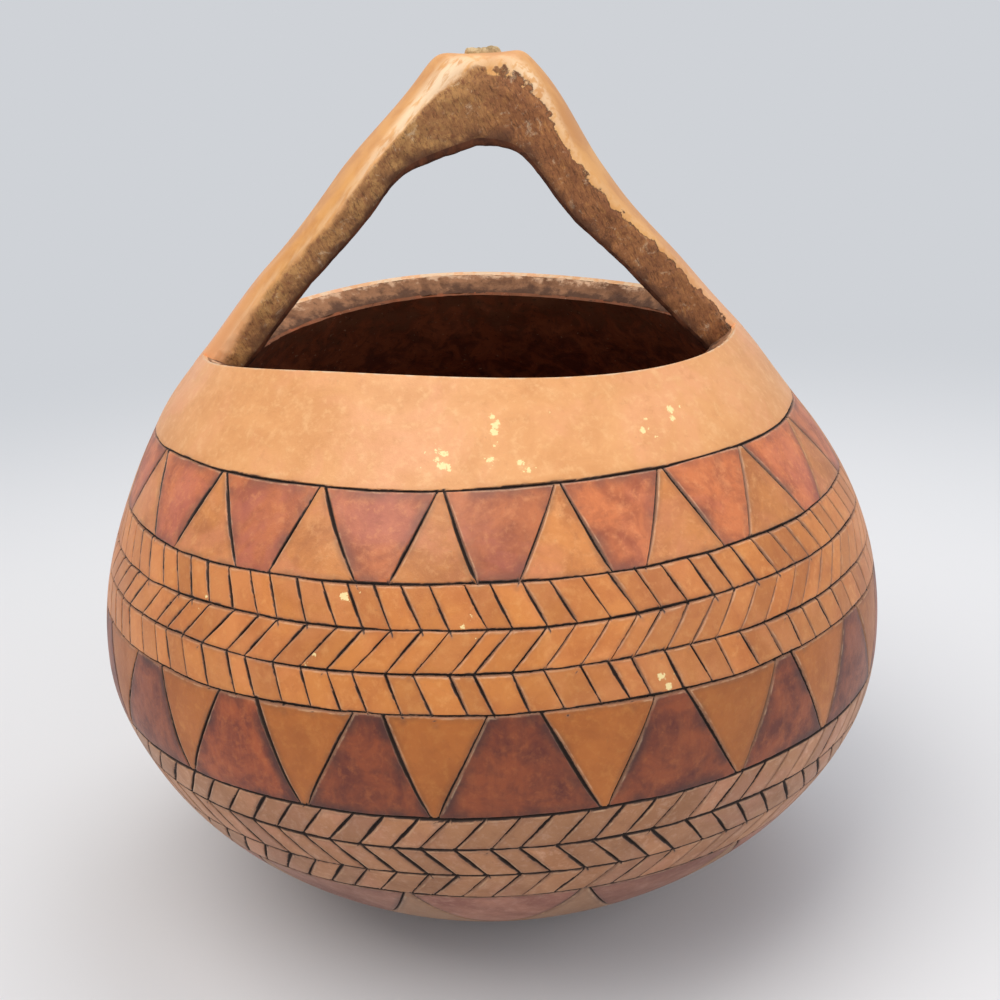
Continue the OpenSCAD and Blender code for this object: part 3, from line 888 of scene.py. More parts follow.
@dataclass
class Handle:
    """The strap of wall left over the mouth: two legs that meet in the thick flesh of the crown."""

    form: GourdForm
    foot_z: float = 160.0
    split_z: float = 208.0
    top_z: float = 238.7
    # The two low lobes of the crown, left and right of the stem
    lobe_mid: float = 0.6
    lobe_x: float = 10.5
    lobe_h: float = 0.7
    crown_bend: float = 2.4
    # How fast the top and the underside of the crown fall toward the cut faces
    lid_fall: float = 0.012
    # How far the cut faces were sanded back to skin, in millimetres at places along the handle
    sanded_x: tuple = (-64.0, -56.0, -30.0, -18.0, -8.0, 3.0, 12.0, 20.0, 30.0, 70.0)
    sanded: tuple = (4.6, 2.4, 1.6, 1.0, 0.0, -0.8, -0.5, 0.1, 0.3, 0.3)
    # How strong and wide the pale band on the ridge over the front cut is, at the same places: a painted
    # highlight with some sanded wear
    ridge_highlight_and_wear: tuple = (0.2, 0.25, 0.4, 0.95, 1.0, 0.3, 0.85, 0.5, 0.25, 0.2)
    # Share of the thickness at which the dark pith starts
    pith_share: float = 0.86
    skin_share: float = 0.15
    # Half the strap's width at the rim, where it is widest, and on the crown
    half_rim: float = 13.0
    half_wide: float = 19.6
    half_top: float = 14.5
    wide_z: float = 213.0
    leg_t: float = 9.2
    right_extra: float = 1.3
    # The top of the opening under the crown, and how its underside falls to the left and to the right
    arch_x: float = 1.0
    arch_z: float = 217.0
    arch_slope: float = 0.3
    arch_fall: float = 0.012
    blend: float = 2.4
    # Rounding of the outer edges at the same places, and of the inner ones
    rounding: tuple = (4.4, 4.3, 3.8, 3.8, 4.0, 4.2, 3.6, 2.8, 2.2, 2.2)
    inner_round: float = 2.6
    # What the saw left on the cut faces, from its teeth to the sway of the hand
    saw_layers: tuple = ((3.4, 6.0, 0.34), (1.3, 8.0, 0.22), (9.0, 2.0, 0.3))

    def outer_z(self, x: np.ndarray, y: np.ndarray) -> np.ndarray:
        """Height of the outer skin over a place on the ground plan."""
        form, around = self.form, np.hypot(x, y)
        cone = form.neck_z + (around - form.neck_r()) / form.neck_slope()
        lobes = self.lobe_h * np.exp(-((np.abs(x - self.lobe_mid) - self.lobe_x) / 4.0) ** 2)
        lid = self.top_z - self.lobe_h + lobes - self.lid_fall * np.maximum(np.abs(y) - 6, 0) ** 2
        gap = cone - lid
        return cone - (gap + np.sqrt(gap ** 2 + self.crown_bend ** 2)) / 2

    def inner_z(self, x: np.ndarray, y: np.ndarray) -> np.ndarray:
        """Height of the underside over a place on the ground plan."""
        form, around = self.form, np.hypot(x, y)
        thick = (self.leg_t + self.right_extra * smooth(-5, 12, x)) / math.cos(math.atan(form.neck_slope()))
        cone = form.neck_z + (around + thick - form.neck_r()) / form.neck_slope()
        off = x - self.arch_x
        ceiling = self.arch_z - np.where(off < 0, -self.arch_slope * off, self.arch_fall * off ** 2)
        ceiling = ceiling - self.lid_fall * y ** 2
        gap = cone - ceiling
        return cone - (gap + np.sqrt(gap ** 2 + self.blend ** 2)) / 2

    def half_width(self, z: np.ndarray) -> np.ndarray:
        """Half the strap's width at a height."""
        rise = self.half_rim + (self.half_wide - self.half_rim) * smooth(self.form.rim_z, self.wide_z, z)
        return rise + (self.half_top - self.half_wide) * smooth(self.wide_z + 2, self.top_z, z)

    def block(self, x_from: float, x_to: float, stations: int, d_from: float, d_to: float,
              across: int, deep: int) -> Mesh:
        """A closed block of the strap.

        Args:
            x_from: Where the block starts along the handle, in millimetres.
            x_to: Where it ends.
            stations: Number of stretches between the two.
            d_from: Depth share of its upper face, 0 at the skin and 1 at the underside.
            d_to: Depth share of its lower face.
            across: Number of stretches over the width.
            deep: Number of stretches over the depth.

        Returns:
            The mesh in metres, with the depth share of each place as a layer.
        """
        mesh = bmesh.new()
        bmesh.ops.create_cube(mesh, size=1)
        for axis, count in ((0, stations), (1, across), (2, deep)):
            lines = [e for e in mesh.edges
                     if abs((e.verts[0].co - e.verts[1].co).normalized()[axis]) > 0.99]
            bmesh.ops.subdivide_edges(mesh, edges=lines, cuts=count - 1, use_grid_fill=True)
        unit = places_of(mesh) + 0.5
        x = x_from + (x_to - x_from) * unit[:, 0]
        side = 2 * unit[:, 1] - 1
        share = d_from + (d_to - d_from) * (1 - unit[:, 2])
        points, thick = self.bent(x, side, share)
        set_places(mesh, points)
        half = self.half_width(self.outer_z(x, np.zeros(len(x))))
        along = share * thick - half * (1 - np.abs(side))
        sanded = np.interp(x, self.sanded_x, self.sanded) - along
        # A painted highlight with some sanded wear along the ridge, on the front side only
        highlight_and_wear = np.interp(x, self.sanded_x, self.ridge_highlight_and_wear)
        ridge = highlight_and_wear * np.exp(-((sanded - 1.3 - highlight_and_wear) / (0.9 + 2.2 * highlight_and_wear)) ** 2) * (side < 0)
        record_values(mesh, {"deep": share, "sanded": sanded, "under": (1 - share) * thick,
                             "worn": smooth(12, -12, x), "ridge": ridge,
                             "foot": np.abs(x) - self.edge_x(self.form.rim_z)})
        bmesh.ops.recalc_face_normals(mesh, faces=mesh.faces)
        return mesh

    def bent(self, x: np.ndarray, side: np.ndarray, share: np.ndarray) -> tuple[np.ndarray, np.ndarray]:
        """Bends places in the strap to its shape.

        Args:
            x: Place along the handle.
            side: Place over the width, from -1 at the front cut to 1 at the back.
            share: Depth share, 0 at the skin and 1 at the underside.

        Returns:
            Points in millimetres, and the thickness of the strap at each.
        """
        half = self.half_width(self.outer_z(x, np.zeros(len(x))))
        y = side * half
        high, low = self.outer_z(x, y), self.inner_z(x, y)
        tall = high - low
        slope = self.form.neck_slope()
        thick = tall * abs(math.sin(math.atan(slope)))
        p, q = np.abs(y), share * thick
        outer = np.minimum(np.interp(x, self.sanded_x, self.rounding), thick * 0.45)
        for radius, centre in ((outer, None), (self.inner_round, thick)):
            dp = p - (half - radius)
            dq = radius - q if centre is None else q - (thick - radius)
            corner = (dp > 0) & (dq > 0)
            pull = np.maximum(dp, dq) / np.maximum(np.hypot(dp, dq), 1e-9)
            p = np.where(corner, half - radius + dp * pull, p)
            turned = dq * pull
            q = np.where(corner, radius - turned if centre is None else thick - radius + turned, q)
        y = np.sign(side) * p
        z = high - q / np.maximum(thick, 1e-6) * tall
        even = np.stack([x, y, z], 1)
        out = self.form.uneven(even)
        face = smooth(0.9, 1.0, np.abs(side)) * smooth(0.05, 0.2, share)
        under = smooth(0.93, 1.0, share)
        rough = np.clip(layered(out, self.saw_layers), -0.6, 0.6) * np.maximum(face, under * 0.8)
        out[:, 1] -= np.sign(side) * rough * face * 0.9
        out[:, 2] += rough * under * 0.6
        return out, thick

    def edge_x(self, z: float) -> float:
        """Distance from the axis at which the outer skin, midway over the width, has a height."""
        form = self.form
        return form.neck_r() + form.neck_slope() * (z - form.neck_z)

    def pieces(self, strap: Material, pith: Material) -> None:
        """Makes the skins, the legs, the crown and the lining of the strap."""
        foot, split = self.edge_x(self.foot_z), self.edge_x(self.split_z)
        wall = (self.skin_share, self.pith_share)
        for leg in Leg:
            side, word = leg.value, leg.name.lower()
            ends = (side * foot, side * split)
            mesh = self.block(*ends, 110, 0, self.skin_share, 34, 3)
            finish_piece(mesh, f"{word}_leg_skin_sanded", strap, (f"{word}_leg_skin",))
            mesh = self.block(*ends, 130, *wall, 8, 18)
            finish_piece(mesh, f"{word}_leg", strap, (f"handle_{word}_leg",))
        mesh = self.block(-split, split, 130, 0, self.skin_share, 50, 4)
        finish_piece(mesh, "crown_skin_sanded", strap, ("crown_skin",), crease=30.0)
        mesh = self.block(-split, split, 150, *wall, 10, 30)
        finish_piece(mesh, "crown", strap, ("handle_crown",), crease=30.0)
        mesh = self.block(-foot, foot, 300, self.pith_share, 1.0, 40, 3)
        finish_piece(mesh, "strap_pith", pith, ("handle_lining",))


@dataclass
class StemStub:
    """The knotty end of the stem on top of the crown."""

    form: GourdForm
    centre_x: float = 4.4
    foot_z: float = 234.0
    radius: float = 4.5
    top_z: float = 239.95
    gnarl_layers: tuple = ((2.4, 0.0, 0.6), (1.0, 3.0, 0.4))

    def piece(self, material: Material) -> Piece:
        """Makes the stub from a ball that is flattened, ridged and gnarled."""
        mesh = bmesh.new()
        bmesh.ops.create_icosphere(mesh, subdivisions=5, radius=1)
        unit = places_of(mesh)
        turn = np.arctan2(unit[:, 1], unit[:, 0])
        ridges = 1 + 0.1 * np.cos(5 * turn + 0.6) + 0.06 * np.cos(3 * turn)
        squash = np.sign(unit[:, 2]) * np.abs(unit[:, 2]) ** 0.55
        half = (self.top_z - self.foot_z) / 2
        points = np.stack([unit[:, 0] * ridges * self.radius, unit[:, 1] * ridges * self.radius * 0.85,
                           squash * half], 1)
        gnarl = layered(points, self.gnarl_layers) - 0.3
        dip = 0.9 * (1 - smooth(0, 3.2, np.hypot(points[:, 0], points[:, 1]))) * (points[:, 2] > 0)
        points[:, 2] = np.minimum(points[:, 2] + gnarl - dip, half)
        points[:, :2] *= (1 + 0.05 * grain(points, 2.0, 5.0))[:, None]
        points += np.array([self.centre_x, 0, (self.top_z + self.foot_z) / 2])
        set_places(mesh, points)
        return finish_piece(mesh, "stem_end", material, ("stem_stub",))


@dataclass(frozen=True)
class SkinFinish:
    """Dried gourd skin, hard and lightly polished: a satin face, mottled by the dye or by growing."""

    name: str
    base: str
    deep: str
    pale: str
    burnt: str
    groove: str = "#9A7158"
    # The near-black of a cut's dark wall is a burnt core with painted shade, and the pale lip is chipped skin
    # with a painted highlight
    core: str = "#1B0E08"
    lip: str = "#E3BE96"
    mottle_mm: float = 14.0
    mottle: float = 0.55
    burn_mm: float = 1.6
    burn: float = 0.5
    streak: float = 0.0
    blush: str = ""
    roughness: float = 0.44
    wax: float = 0.3
    tone: float = 0.16
    # Patches of flaked skin, each as its middle and its radius in millimetres
    flakes: tuple = ()
    bared: str = "#F7DF9E"

    def material(self) -> Material:
        """Builds the nodes."""
        bench = Bench(self.name)
        clouds = bench.noise(self.mottle_mm, 6.0, 0.62, 0.5)
        fine, pores = bench.noise(1.8, 4.0, 0.7), bench.noise(0.45, 2.0)
        # Growth and dye leave soft clouds, which the polish keeps in view
        colour = bench.tint(self.base, self.deep, clouds, 0.34, 0.68, self.mottle)
        if self.blush:
            warmth = bench.noise(24.0, 4.0, 0.6, 0.6)
            colour = bench.tint(colour, self.blush, warmth, 0.46, 0.66, 0.6)
        middling = bench.noise(4.5, 5.0, 0.68, 0.3)
        colour = bench.tint(colour, self.pale, middling, 0.52, 0.72, 0.5)
        colour = bench.tint(colour, self.deep, middling, 0.46, 0.28, 0.4)
        colour = bench.tint(colour, self.pale, fine, 0.5, 0.74, 0.45)
        # Pores and scuffs leave small dark specks
        colour = bench.tint(colour, self.burnt, bench.noise(0.9, 4.0, 0.75), 0.62, 0.72, 0.4)
        if self.streak:
            # Dye that ran with the grain leaves upright streaks
            run = bench.noise(1.0, 3.0, 0.6, 0.4, bench.stretched(0.0, (2.6, 2.6, 16.0)))
            colour = bench.tint(colour, self.pale, run, 0.5, 0.7, self.streak)
        shade = bench.span(bench.attribute("tone"), 0.0, 1.0, 1 - self.tone, 1 + self.tone * 0.6)
        colour = add_node(bench.tree, "HueSaturation", {"Value": shade, "Color": colour}).outputs[0]
        # Darker in patches beside the cuts
        halo = bench.span(bench.attribute("off"), 0.0, self.burn_mm, self.burn, 0.0)
        patchy = bench.maths("MULTIPLY", halo, bench.span(bench.noise(9.0, 4.0), 0.34, 0.64, 0.1, 1.5))
        colour = bench.mix(patchy, colour, self.burnt)
        for place, reach in self.flakes:
            colour = self.flaked(bench, colour, place, reach)
        # A thin pale lip on one side of each cut: chipped skin with a painted highlight on the edge that
        # faces the light
        chips = bench.span(bench.noise(3.0, 4.0), 0.4, 0.66, 0.06, 0.5)
        lip_chips_and_highlight = bench.maths("MULTIPLY", bench.attribute("lip"), chips)
        colour = bench.mix(add_node(bench.tree, "Clamp", {"Value": lip_chips_and_highlight}).outputs[0], colour, self.lip)
        groove = bench.attribute("groove")
        colour = bench.mix(bench.maths("MULTIPLY", groove, 0.9), colour, self.groove)
        # The dark wall of each cut: a burnt core with painted shade on the wall turned from the light
        rag = bench.span(bench.noise(0.8, 3.0), 0.3, 0.7, -0.22, 0.22)
        ragged = bench.maths("ADD", bench.attribute("dark"), rag)
        dark = bench.maths("MULTIPLY", bench.span(ragged, 0.25, 0.6), groove)
        colour = bench.mix(bench.maths("MULTIPLY", dark, 0.96), colour, self.core)
        sheen = bench.span(clouds, 0.0, 1.0, self.roughness - 0.06, self.roughness + 0.14)
        rough = bench.maths("MAXIMUM", sheen, bench.maths("MULTIPLY", groove, 0.9))
        bump = bench.bump(pores, 0.12, 0.15)
        return bench.finish(colour, rough, bench.bump(fine, 0.35, 0.3, bump), wax=self.wax)

    def flaked(self, bench: Bench, colour: Socket, place: tuple[float, float, float],
               reach: float) -> Socket:
        """Adds a patch where specks of the skin have flaked off to the pale layer.

        Args:
            bench: The material's nodes.
            colour: The colour so far.
            place: Middle of the patch in millimetres.
            reach: Radius of the patch in millimetres.

        Returns:
            The colour with the flakes.
        """
        cells = add_node(bench.tree, "TexVoronoi", {"Vector": bench.coords, "Scale": 1 / (2.4 * MM)})
        luck = bench.span(bench.maths("MULTIPLY", cells.outputs["Color"], 1.0), 0.3, 0.6, 0.35, 0.0)
        speck = bench.maths("MULTIPLY_ADD", bench.noise(0.9, 5.0, 0.72), 1.5, cells.outputs["Distance"])
        speck = bench.maths("ADD", speck, luck)
        centre = tuple(value * MM for value in place)
        away = add_node(bench.tree, "VectorMath", {"operation": "DISTANCE", 0: bench.coords, 1: centre})
        limit = bench.span(away.outputs["Value"], 0.0, reach * MM, 1.24, 0.3)
        mask = bench.span(bench.maths("SUBTRACT", limit, speck), 0.0, 0.05)
        return bench.mix(mask, colour, self.bared)


@dataclass(frozen=True)
class SawnFinish:
    """Gourd wall cut with a small saw: corky fibre, matt, tan where fresh and brown where handled."""

    name: str
    fresh: str = "#B98A66"
    aged: str = "#8A5E42"
    deepest: str = "#4A2C1B"
    scraped: str = ""
    pulp: str = "#B8967A"
    outer: str = ""
    fibre_mm: float = 1.1
    patch_mm: float = 9.0

    def material(self) -> Material:
        """Builds the nodes."""
        bench = Bench(self.name)
        patch = bench.noise(self.patch_mm, 7.0, 0.66, 0.8)
        fibre = bench.noise(self.fibre_mm, 5.0, 0.75)
        colour = bench.tint(self.fresh, self.aged, patch, 0.38, 0.64)
        if self.outer:
            # The hard wall under the skin is pale, and the face darkens toward the pith
            waver = bench.span(bench.noise(3.5, 5.0), 0.25, 0.75, -0.3, 0.3)
            inward = bench.maths("ADD", bench.attribute("deep"), waver)
            colour = bench.tint(colour, self.deepest, inward, 0.45, 0.95, 0.85)
            colour = bench.mix(bench.span(inward, 0.0, 0.36, 0.9, 0.0), colour, self.outer)
        if self.scraped:
            # Near the rim the knife took most of the pith, down to the brown wall
            ragged = bench.maths("ADD", bench.attribute("scraped"), bench.span(patch, 0.2, 0.8, -0.35, 0.35))
            colour = bench.tint(colour, self.scraped, ragged, 0.45, 0.9)
            # Loose bits of dried pulp and seed skin still stick to it
            colour = bench.tint(colour, self.pulp, bench.noise(1.3, 3.0, 0.55), 0.68, 0.73, 0.75)
        colour = bench.tint(colour, self.deepest, fibre, 0.54, 0.72, 0.8)
        saw = bench.noise(1.0, 3.0, 0.6, 0.6, bench.stretched(-25.0, (0.9, 4.0, 5.0)))
        bump = bench.bump(fibre, 0.6, 0.5)
        return bench.finish(colour, 0.82, bench.bump(saw, 0.3, 0.3, bump), 1.45)


@dataclass(frozen=True)
class StrapFinish:
    """The handle, sawn and then sanded from the skin inward: satin skin, ridges with a painted highlight and
    some wear, scarred cut faces.
    """

    name: str
    skin: str = "#DEA058"
    skin_deep: str = "#C68445"
    collar: str = "#E0A06C"
    # Pale cream: the painted highlight and wear on the ridge, and pale bits of the cut face
    ridge: str = "#F7DDB8"
    fresh: str = "#BC8D55"
    aged: str = "#9F673C"
    brown: str = "#834F30"
    scar: str = "#371D10"
    under: str = "#5B3722"
    torn: str = "#2C160C"
    fibre: str = "#A9835F"

    def material(self) -> Material:
        """Builds the nodes."""
        bench = Bench(self.name)
        worn = bench.attribute("worn")
        patch, fine = bench.noise(8.0, 6.0, 0.62, 1.1), bench.noise(1.5, 5.0, 0.7)
        clouds = bench.noise(12.0, 5.0, 0.6, 0.4)
        skin = bench.tint(self.skin, self.skin_deep, clouds, 0.36, 0.66, 0.8)
        # Low on each leg the skin has the colour of the collar that it grows from
        skin = bench.tint(skin, self.collar, bench.attribute("foot"), -22.0, -3.0)
        # The left leg's cut face is yellow tan low down, and the wall is browner to the right
        fresh = bench.mix(bench.maths("MULTIPLY", worn, 0.85), self.aged, self.fresh)
        # Old stain ends in jagged borders, like a map
        cut = bench.tint(fresh, self.brown, patch, 0.42, 0.58, 0.5)
        border = bench.maths("ABSOLUTE", bench.maths("SUBTRACT", patch, 0.53))
        border = bench.span(border, 0.0, 0.014, 0.45, 0.0)
        border = bench.maths("MULTIPLY", border, bench.span(worn, 0.0, 1.0, 1.0, 0.3))
        cut = bench.mix(border, cut, self.scar)
        ticks = bench.noise(1.0, 4.0, 0.7, 0.8, bench.stretched(-25.0, (0.55, 1.6, 2.1)))
        coarse = bench.noise(3.2, 5.0, 0.7, 0.6)
        cut = bench.tint(cut, self.brown, coarse, 0.5, 0.7, 0.7)
        cut = bench.tint(cut, self.ridge, coarse, 0.44, 0.28, 0.45)
        cut = bench.tint(cut, self.scar, ticks, 0.52, 0.66, 0.6)
        cut = bench.tint(cut, self.skin, ticks, 0.46, 0.34, 0.3)
        cut = bench.tint(cut, self.brown, fine, 0.5, 0.68, 0.8)
        # The face darkens toward the pith
        inner = bench.maths("SUBTRACT", bench.attribute("under"), bench.span(patch, 0.2, 0.8, -1.6, 1.6))
        cut = bench.mix(bench.span(inner, 1.0, 4.2, 0.85, 0.0), cut, self.under)
        # Skin meets cut in a soft sanded edge on the left and a jagged one on the right
        jag = bench.span(bench.noise(4.0, 4.0, 0.58), 0.25, 0.75, -1.0, 1.0)
        jag = bench.maths("MULTIPLY", jag, bench.span(worn, 0.0, 1.0, 1.5, 0.6))
        edge = bench.maths("ADD", bench.attribute("sanded"), jag)
        soft = bench.maths("DIVIDE", edge, bench.span(worn, 0.0, 1.0, 0.2, 1.0))
        mask = bench.span(soft, -1.0, 1.0)
        outline = bench.maths("MULTIPLY", bench.span(bench.maths("ABSOLUTE", edge), 0.0, 0.45, 0.6, 0.0),
                              bench.span(worn, 0.0, 0.8, 1.0, 0.0))
        # A painted highlight lies in pale streaks on the ridge over the front cut, with some wear from the
        # thumb and the sandpaper
        rub_and_shine_streaks = bench.noise(1.0, 4.0, 0.6, 0.3, bench.stretched(37.0, (1.5, 1.5, 9.0)))
        ridge_highlight_and_rub = bench.maths("MULTIPLY", bench.attribute("ridge"), bench.span(rub_and_shine_streaks, 0.36, 0.56, 0.15, 1.0))
        skin = bench.mix(bench.maths("MULTIPLY", ridge_highlight_and_rub, 0.85), skin, self.ridge)
        colour = bench.mix(mask, cut, skin)
        colour = bench.mix(outline, colour, self.scar)
        # Fibres tore where the saw stopped at each foot
        torn = bench.maths("ADD", bench.attribute("foot"), bench.span(fine, 0.2, 0.8, -3.0, 3.0))
        torn = bench.span(torn, -7.0, -1.0)
        torn = bench.maths("MULTIPLY", torn, bench.maths("SUBTRACT", 1.0, mask))
        hair = bench.noise(1.0, 3.0, 0.6, 0.3, bench.stretched(-35.0, (0.5, 2.0, 5.0)))
        colour = bench.mix(torn, colour, bench.tint(self.torn, self.fibre, hair, 0.5, 0.62))
        rough = bench.maths("SUBTRACT", 0.84, bench.maths("MULTIPLY", mask, 0.38))
        relief = bench.maths("MULTIPLY", bench.maths("ADD", ticks, fine), bench.maths("SUBTRACT", 1.0, mask))
        return bench.finish(colour, rough, bench.bump(relief, 0.55, 0.5))


# The collar was scraped and polished, and never dyed: the palest and smoothest skin on the gourd, with a
# few flakes knocked off near the front
COLLAR = SkinFinish("polished_gourd_skin", "#E3A163", "#CC8749", "#F0BC82", "#B8793F", tone=0.0, burn=0.25,
                    blush="#E8A070",
                    flakes=(((-11, -81, 151), 11), ((2, -77, 157), 10), ((1, -83, 150), 8),
                            ((9, -83, 148), 9), ((39, -70, 153), 8), ((45, -64, 155), 8),
                            ((14, -75, 162), 9)))
# Undyed skin left between the panels, warmed by the dye beside it: cloudy orange tan
LIGHT = SkinFinish("light_triangle_skin", "#D38540", "#AE642B", "#E6A364", "#87562F", tone=0.08, burn=0.4,
                   mottle=0.9, blush="#D9875A")
# Dye wiped on by hand and rubbed back: red brown clouds that gather darker beside the cuts
DYED = SkinFinish("dyed_panel_skin", "#CE733C", "#98461F", "#E29058", "#74402E", mottle=0.9, burn=0.48,
                  groove="#7A6254", burn_mm=3.2, mottle_mm=9.0, blush="#BF6650")
# Tiles cut in plain skin: each keeps its own shade, so the zigzag shimmers
TILE = SkinFinish("tile_skin", "#D08036", "#B66324", "#E09B55", "#965424", tone=0.14, burn=0.28, burn_mm=1.1,
                  mottle=0.7, blush="#D8874A",
                  flakes=(((-32, -95, 124), 8), ((-6, -102, 120), 8), ((5, -103, 119), 8),
                          ((38, -101, 103), 8), ((-70, -78, 118), 9), ((-42, -99, 111), 7)))
# The same undyed skin below the belly, less polished: deeper orange and duller, its darker colour painted
# shade where the belly turns down from the light
LOW_LIGHT = SkinFinish("low_triangle_skin", "#B3651F", "#985012", "#C07A33", "#6E3D18", tone=0.1, burn=0.35,
                       mottle=0.7, wax=0.12)
# Dye that ran down the grain: dark red brown with upright streaks, darker in part as painted shade below the
# belly
LOW_DYED = SkinFinish("low_dyed_panel_skin", "#9C4818", "#64200C", "#B4622E", "#451B10", mottle=0.95,
                      burn=0.62, burn_mm=3.2, mottle_mm=9.0, streak=0.22, tone=0.22, wax=0.12)
# Tiles below the belly, duller and greyer than those above it: painted shade, and painted light bounced from
# the pale floor
LOW_TILE = SkinFinish("low_tile_skin", "#B67D52", "#915A32", "#D0A284", "#7A4A30", tone=0.18, burn=0.35,
                      burn_mm=1.1, blush="#B67A5C", wax=0.12)
# Thin worn dye on the scallops: dusky rose brown
SCALLOP = SkinFinish("scallop_skin", "#A76D55", "#7E4434", "#BE907D", "#643A2E", mottle=0.85, wax=0.12)
# Plain skin as it dried, under everything that was carved
BASE = SkinFinish("plain_base_skin", "#AF7C54", "#966642", "#C0936E", "#7A5238")
# The saw-cut rim: pale hard wall outside, brown fibre toward the pith
SAWN_WALL = SawnFinish("sawn_gourd_wall", "#A0714F", "#6F472C", outer="#DDB491", patch_mm=15.0)
# The handle, whose faces run from sanded skin to raw saw cut
STRAP = StrapFinish("sanded_to_sawn_strap")
# Dried pulp inside the bowl, half scraped away: dark, matt and blotched, with pale bits that stuck
PITH = SawnFinish("dried_pith", "#9A522E", "#673019", "#2E150A", "#7F4B2D", fibre_mm=1.6, patch_mm=7.0)
# The same pulp under the strap, darker as painted shade on the underside of the arch
STRAP_PITH = SawnFinish("dark_strap_pith", "#6E3D22", "#4A2613", "#2A1208", fibre_mm=1.6, patch_mm=7.0)
# Dry stem and scar: greyish cork, rough and pale
CORK = SawnFinish("corky_stem", "#CBB086", "#9C8258", "#574430", fibre_mm=0.9, patch_mm=3.0)


@dataclass(frozen=True)
class Studio:
    """A pale floor, soft light and a camera where the photograph was taken from."""

    camera_at: tuple = (0.0, -0.38535, 0.23804)
    pitch: float = 17.744
    yaw: float = 0.54
    roll: float = -2.74
    lens: float = 50.4
    sensor: float = 36.0
    paper: str = "#DFE1E4"
    backdrop: str = "#CFD2D7"
    # Distances from the gourd over which the paper runs out into the backdrop, in metres
    fade: tuple = (0.25, 0.85)
    lamps_face: tuple = (0, 0, 0.11)
    # A tall soft lamp to the left gives form, one from above lights the mouth, and a weak one opens the shade
    lamps: tuple = (("key", (-0.4, -0.5, 1.2), 0.9, 9.0, "#FFF6EC"),
                    ("top", (0.35, 0.3, 1.3), 0.9, 5.5, "#FFFFFF"),
                    ("fill", (0.9, -0.7, 0.6), 0.8, 2.2, "#F4F7FF"))

    def camera(self) -> None:
        """Places the camera."""
        data = bpy.data.cameras.new("camera")
        data.lens, data.sensor_width, data.sensor_height = self.lens, self.sensor, self.sensor
        data.sensor_fit = "HORIZONTAL"
        data.clip_start = 0.01
        eye = bpy.data.objects.new("camera", data)
        pitch, yaw, roll = (math.radians(a) for a in (self.pitch, self.yaw, self.roll))
        ahead = Vector((math.sin(yaw) * math.cos(pitch), math.cos(yaw) * math.cos(pitch), -math.sin(pitch)))
        right = ahead.cross(Vector((0, 0, 1))).normalized()
        up = right.cross(ahead)
        x_axis = right * math.cos(roll) + up * math.sin(roll)
        y_axis = up * math.cos(roll) - right * math.sin(roll)
        matrix = eye.matrix_world.copy()
        for column, axis in enumerate((x_axis, y_axis, -ahead, Vector(self.camera_at))):
            for row in range(3):
                matrix[row][column] = axis[row]
        eye.matrix_world = matrix
        bpy.context.scene.collection.objects.link(eye)
        bpy.context.scene.camera = eye

    def lamp(self, name: str, at: tuple, size: float, power: float, colour: str) -> None:
        """Adds one soft lamp that faces the gourd.

        Args:
            name: The lamp's name.
            at: Its place in metres.
            size: Side of its square in metres.
            power: Its power in watts.
            colour: Its colour as sRGB hex.
        """
        data = bpy.data.lights.new(name, "AREA")
        data.shape, data.size, data.energy, data.color = "SQUARE", size, power, linear(colour)[:3]
        lamp = bpy.data.objects.new(name, data)
        lamp.location = at
        lamp.rotation_euler = (Vector(self.lamps_face) - Vector(at)).to_track_quat("-Z", "Y").to_euler()
        bpy.context.scene.collection.objects.link(lamp)

    def floor(self) -> None:
        """Lays the pale floor, which runs out into the plain background without a line."""
        mesh = bmesh.new()
        bmesh.ops.create_grid(mesh, x_segments=2, y_segments=2, size=6)
        data = bpy.data.meshes.new("floor")
        mesh.to_mesh(data)
        mesh.free()
        floor = bpy.data.objects.new("floor", data)
        bpy.context.scene.collection.objects.link(floor)
        bench = Bench("floor_paper")
        paper = add_node(bench.tree, "BsdfDiffuse", {"Color": linear(self.paper), "Roughness": 0.5})
        plain = add_node(bench.tree, "Emission", {"Color": linear(self.backdrop)})
        away = add_node(bench.tree, "VectorMath", {"operation": "LENGTH", 0: bench.coords}).outputs["Value"]
        seen = add_node(bench.tree, "LightPath").outputs["Is Camera Ray"]
        share = bench.maths("MULTIPLY", seen, bench.span(away, *self.fade))
        mixed = add_node(bench.tree, "MixShader", {0: share, 1: paper.outputs[0], 2: plain.outputs[0]})
        add_node(bench.tree, "OutputMaterial", {"Surface": mixed.outputs[0]})
        data.materials.append(bench.material)

    def build(self) -> None:
        """Makes the floor, lamps, world and camera."""
        self.floor()
        for lamp in self.lamps:
            self.lamp(*lamp)
        world = bpy.data.worlds.new("studio")
        world.use_nodes = True
        tree = world.node_tree
        tree.nodes.clear()
        path = add_node(tree, "LightPath")
        seen = add_node(tree, "Math", {"operation": "MAXIMUM", 0: path.outputs["Is Camera Ray"],
                                       1: path.outputs["Is Glossy Ray"]})
        soft = add_node(tree, "Background", {"Color": linear("#F2F4F8"), "Strength": 0.6})
        plain = add_node(tree, "Background", {"Color": linear(self.backdrop), "Strength": 1.0})
        mixed = add_node(tree, "MixShader", {0: seen.outputs[0], 1: soft.outputs[0], 2: plain.outputs[0]})
        add_node(tree, "OutputWorld", {"Surface": mixed.outputs[0]})
        bpy.context.scene.world = world
        bpy.context.scene.view_settings.view_transform = "Standard"
        self.camera()


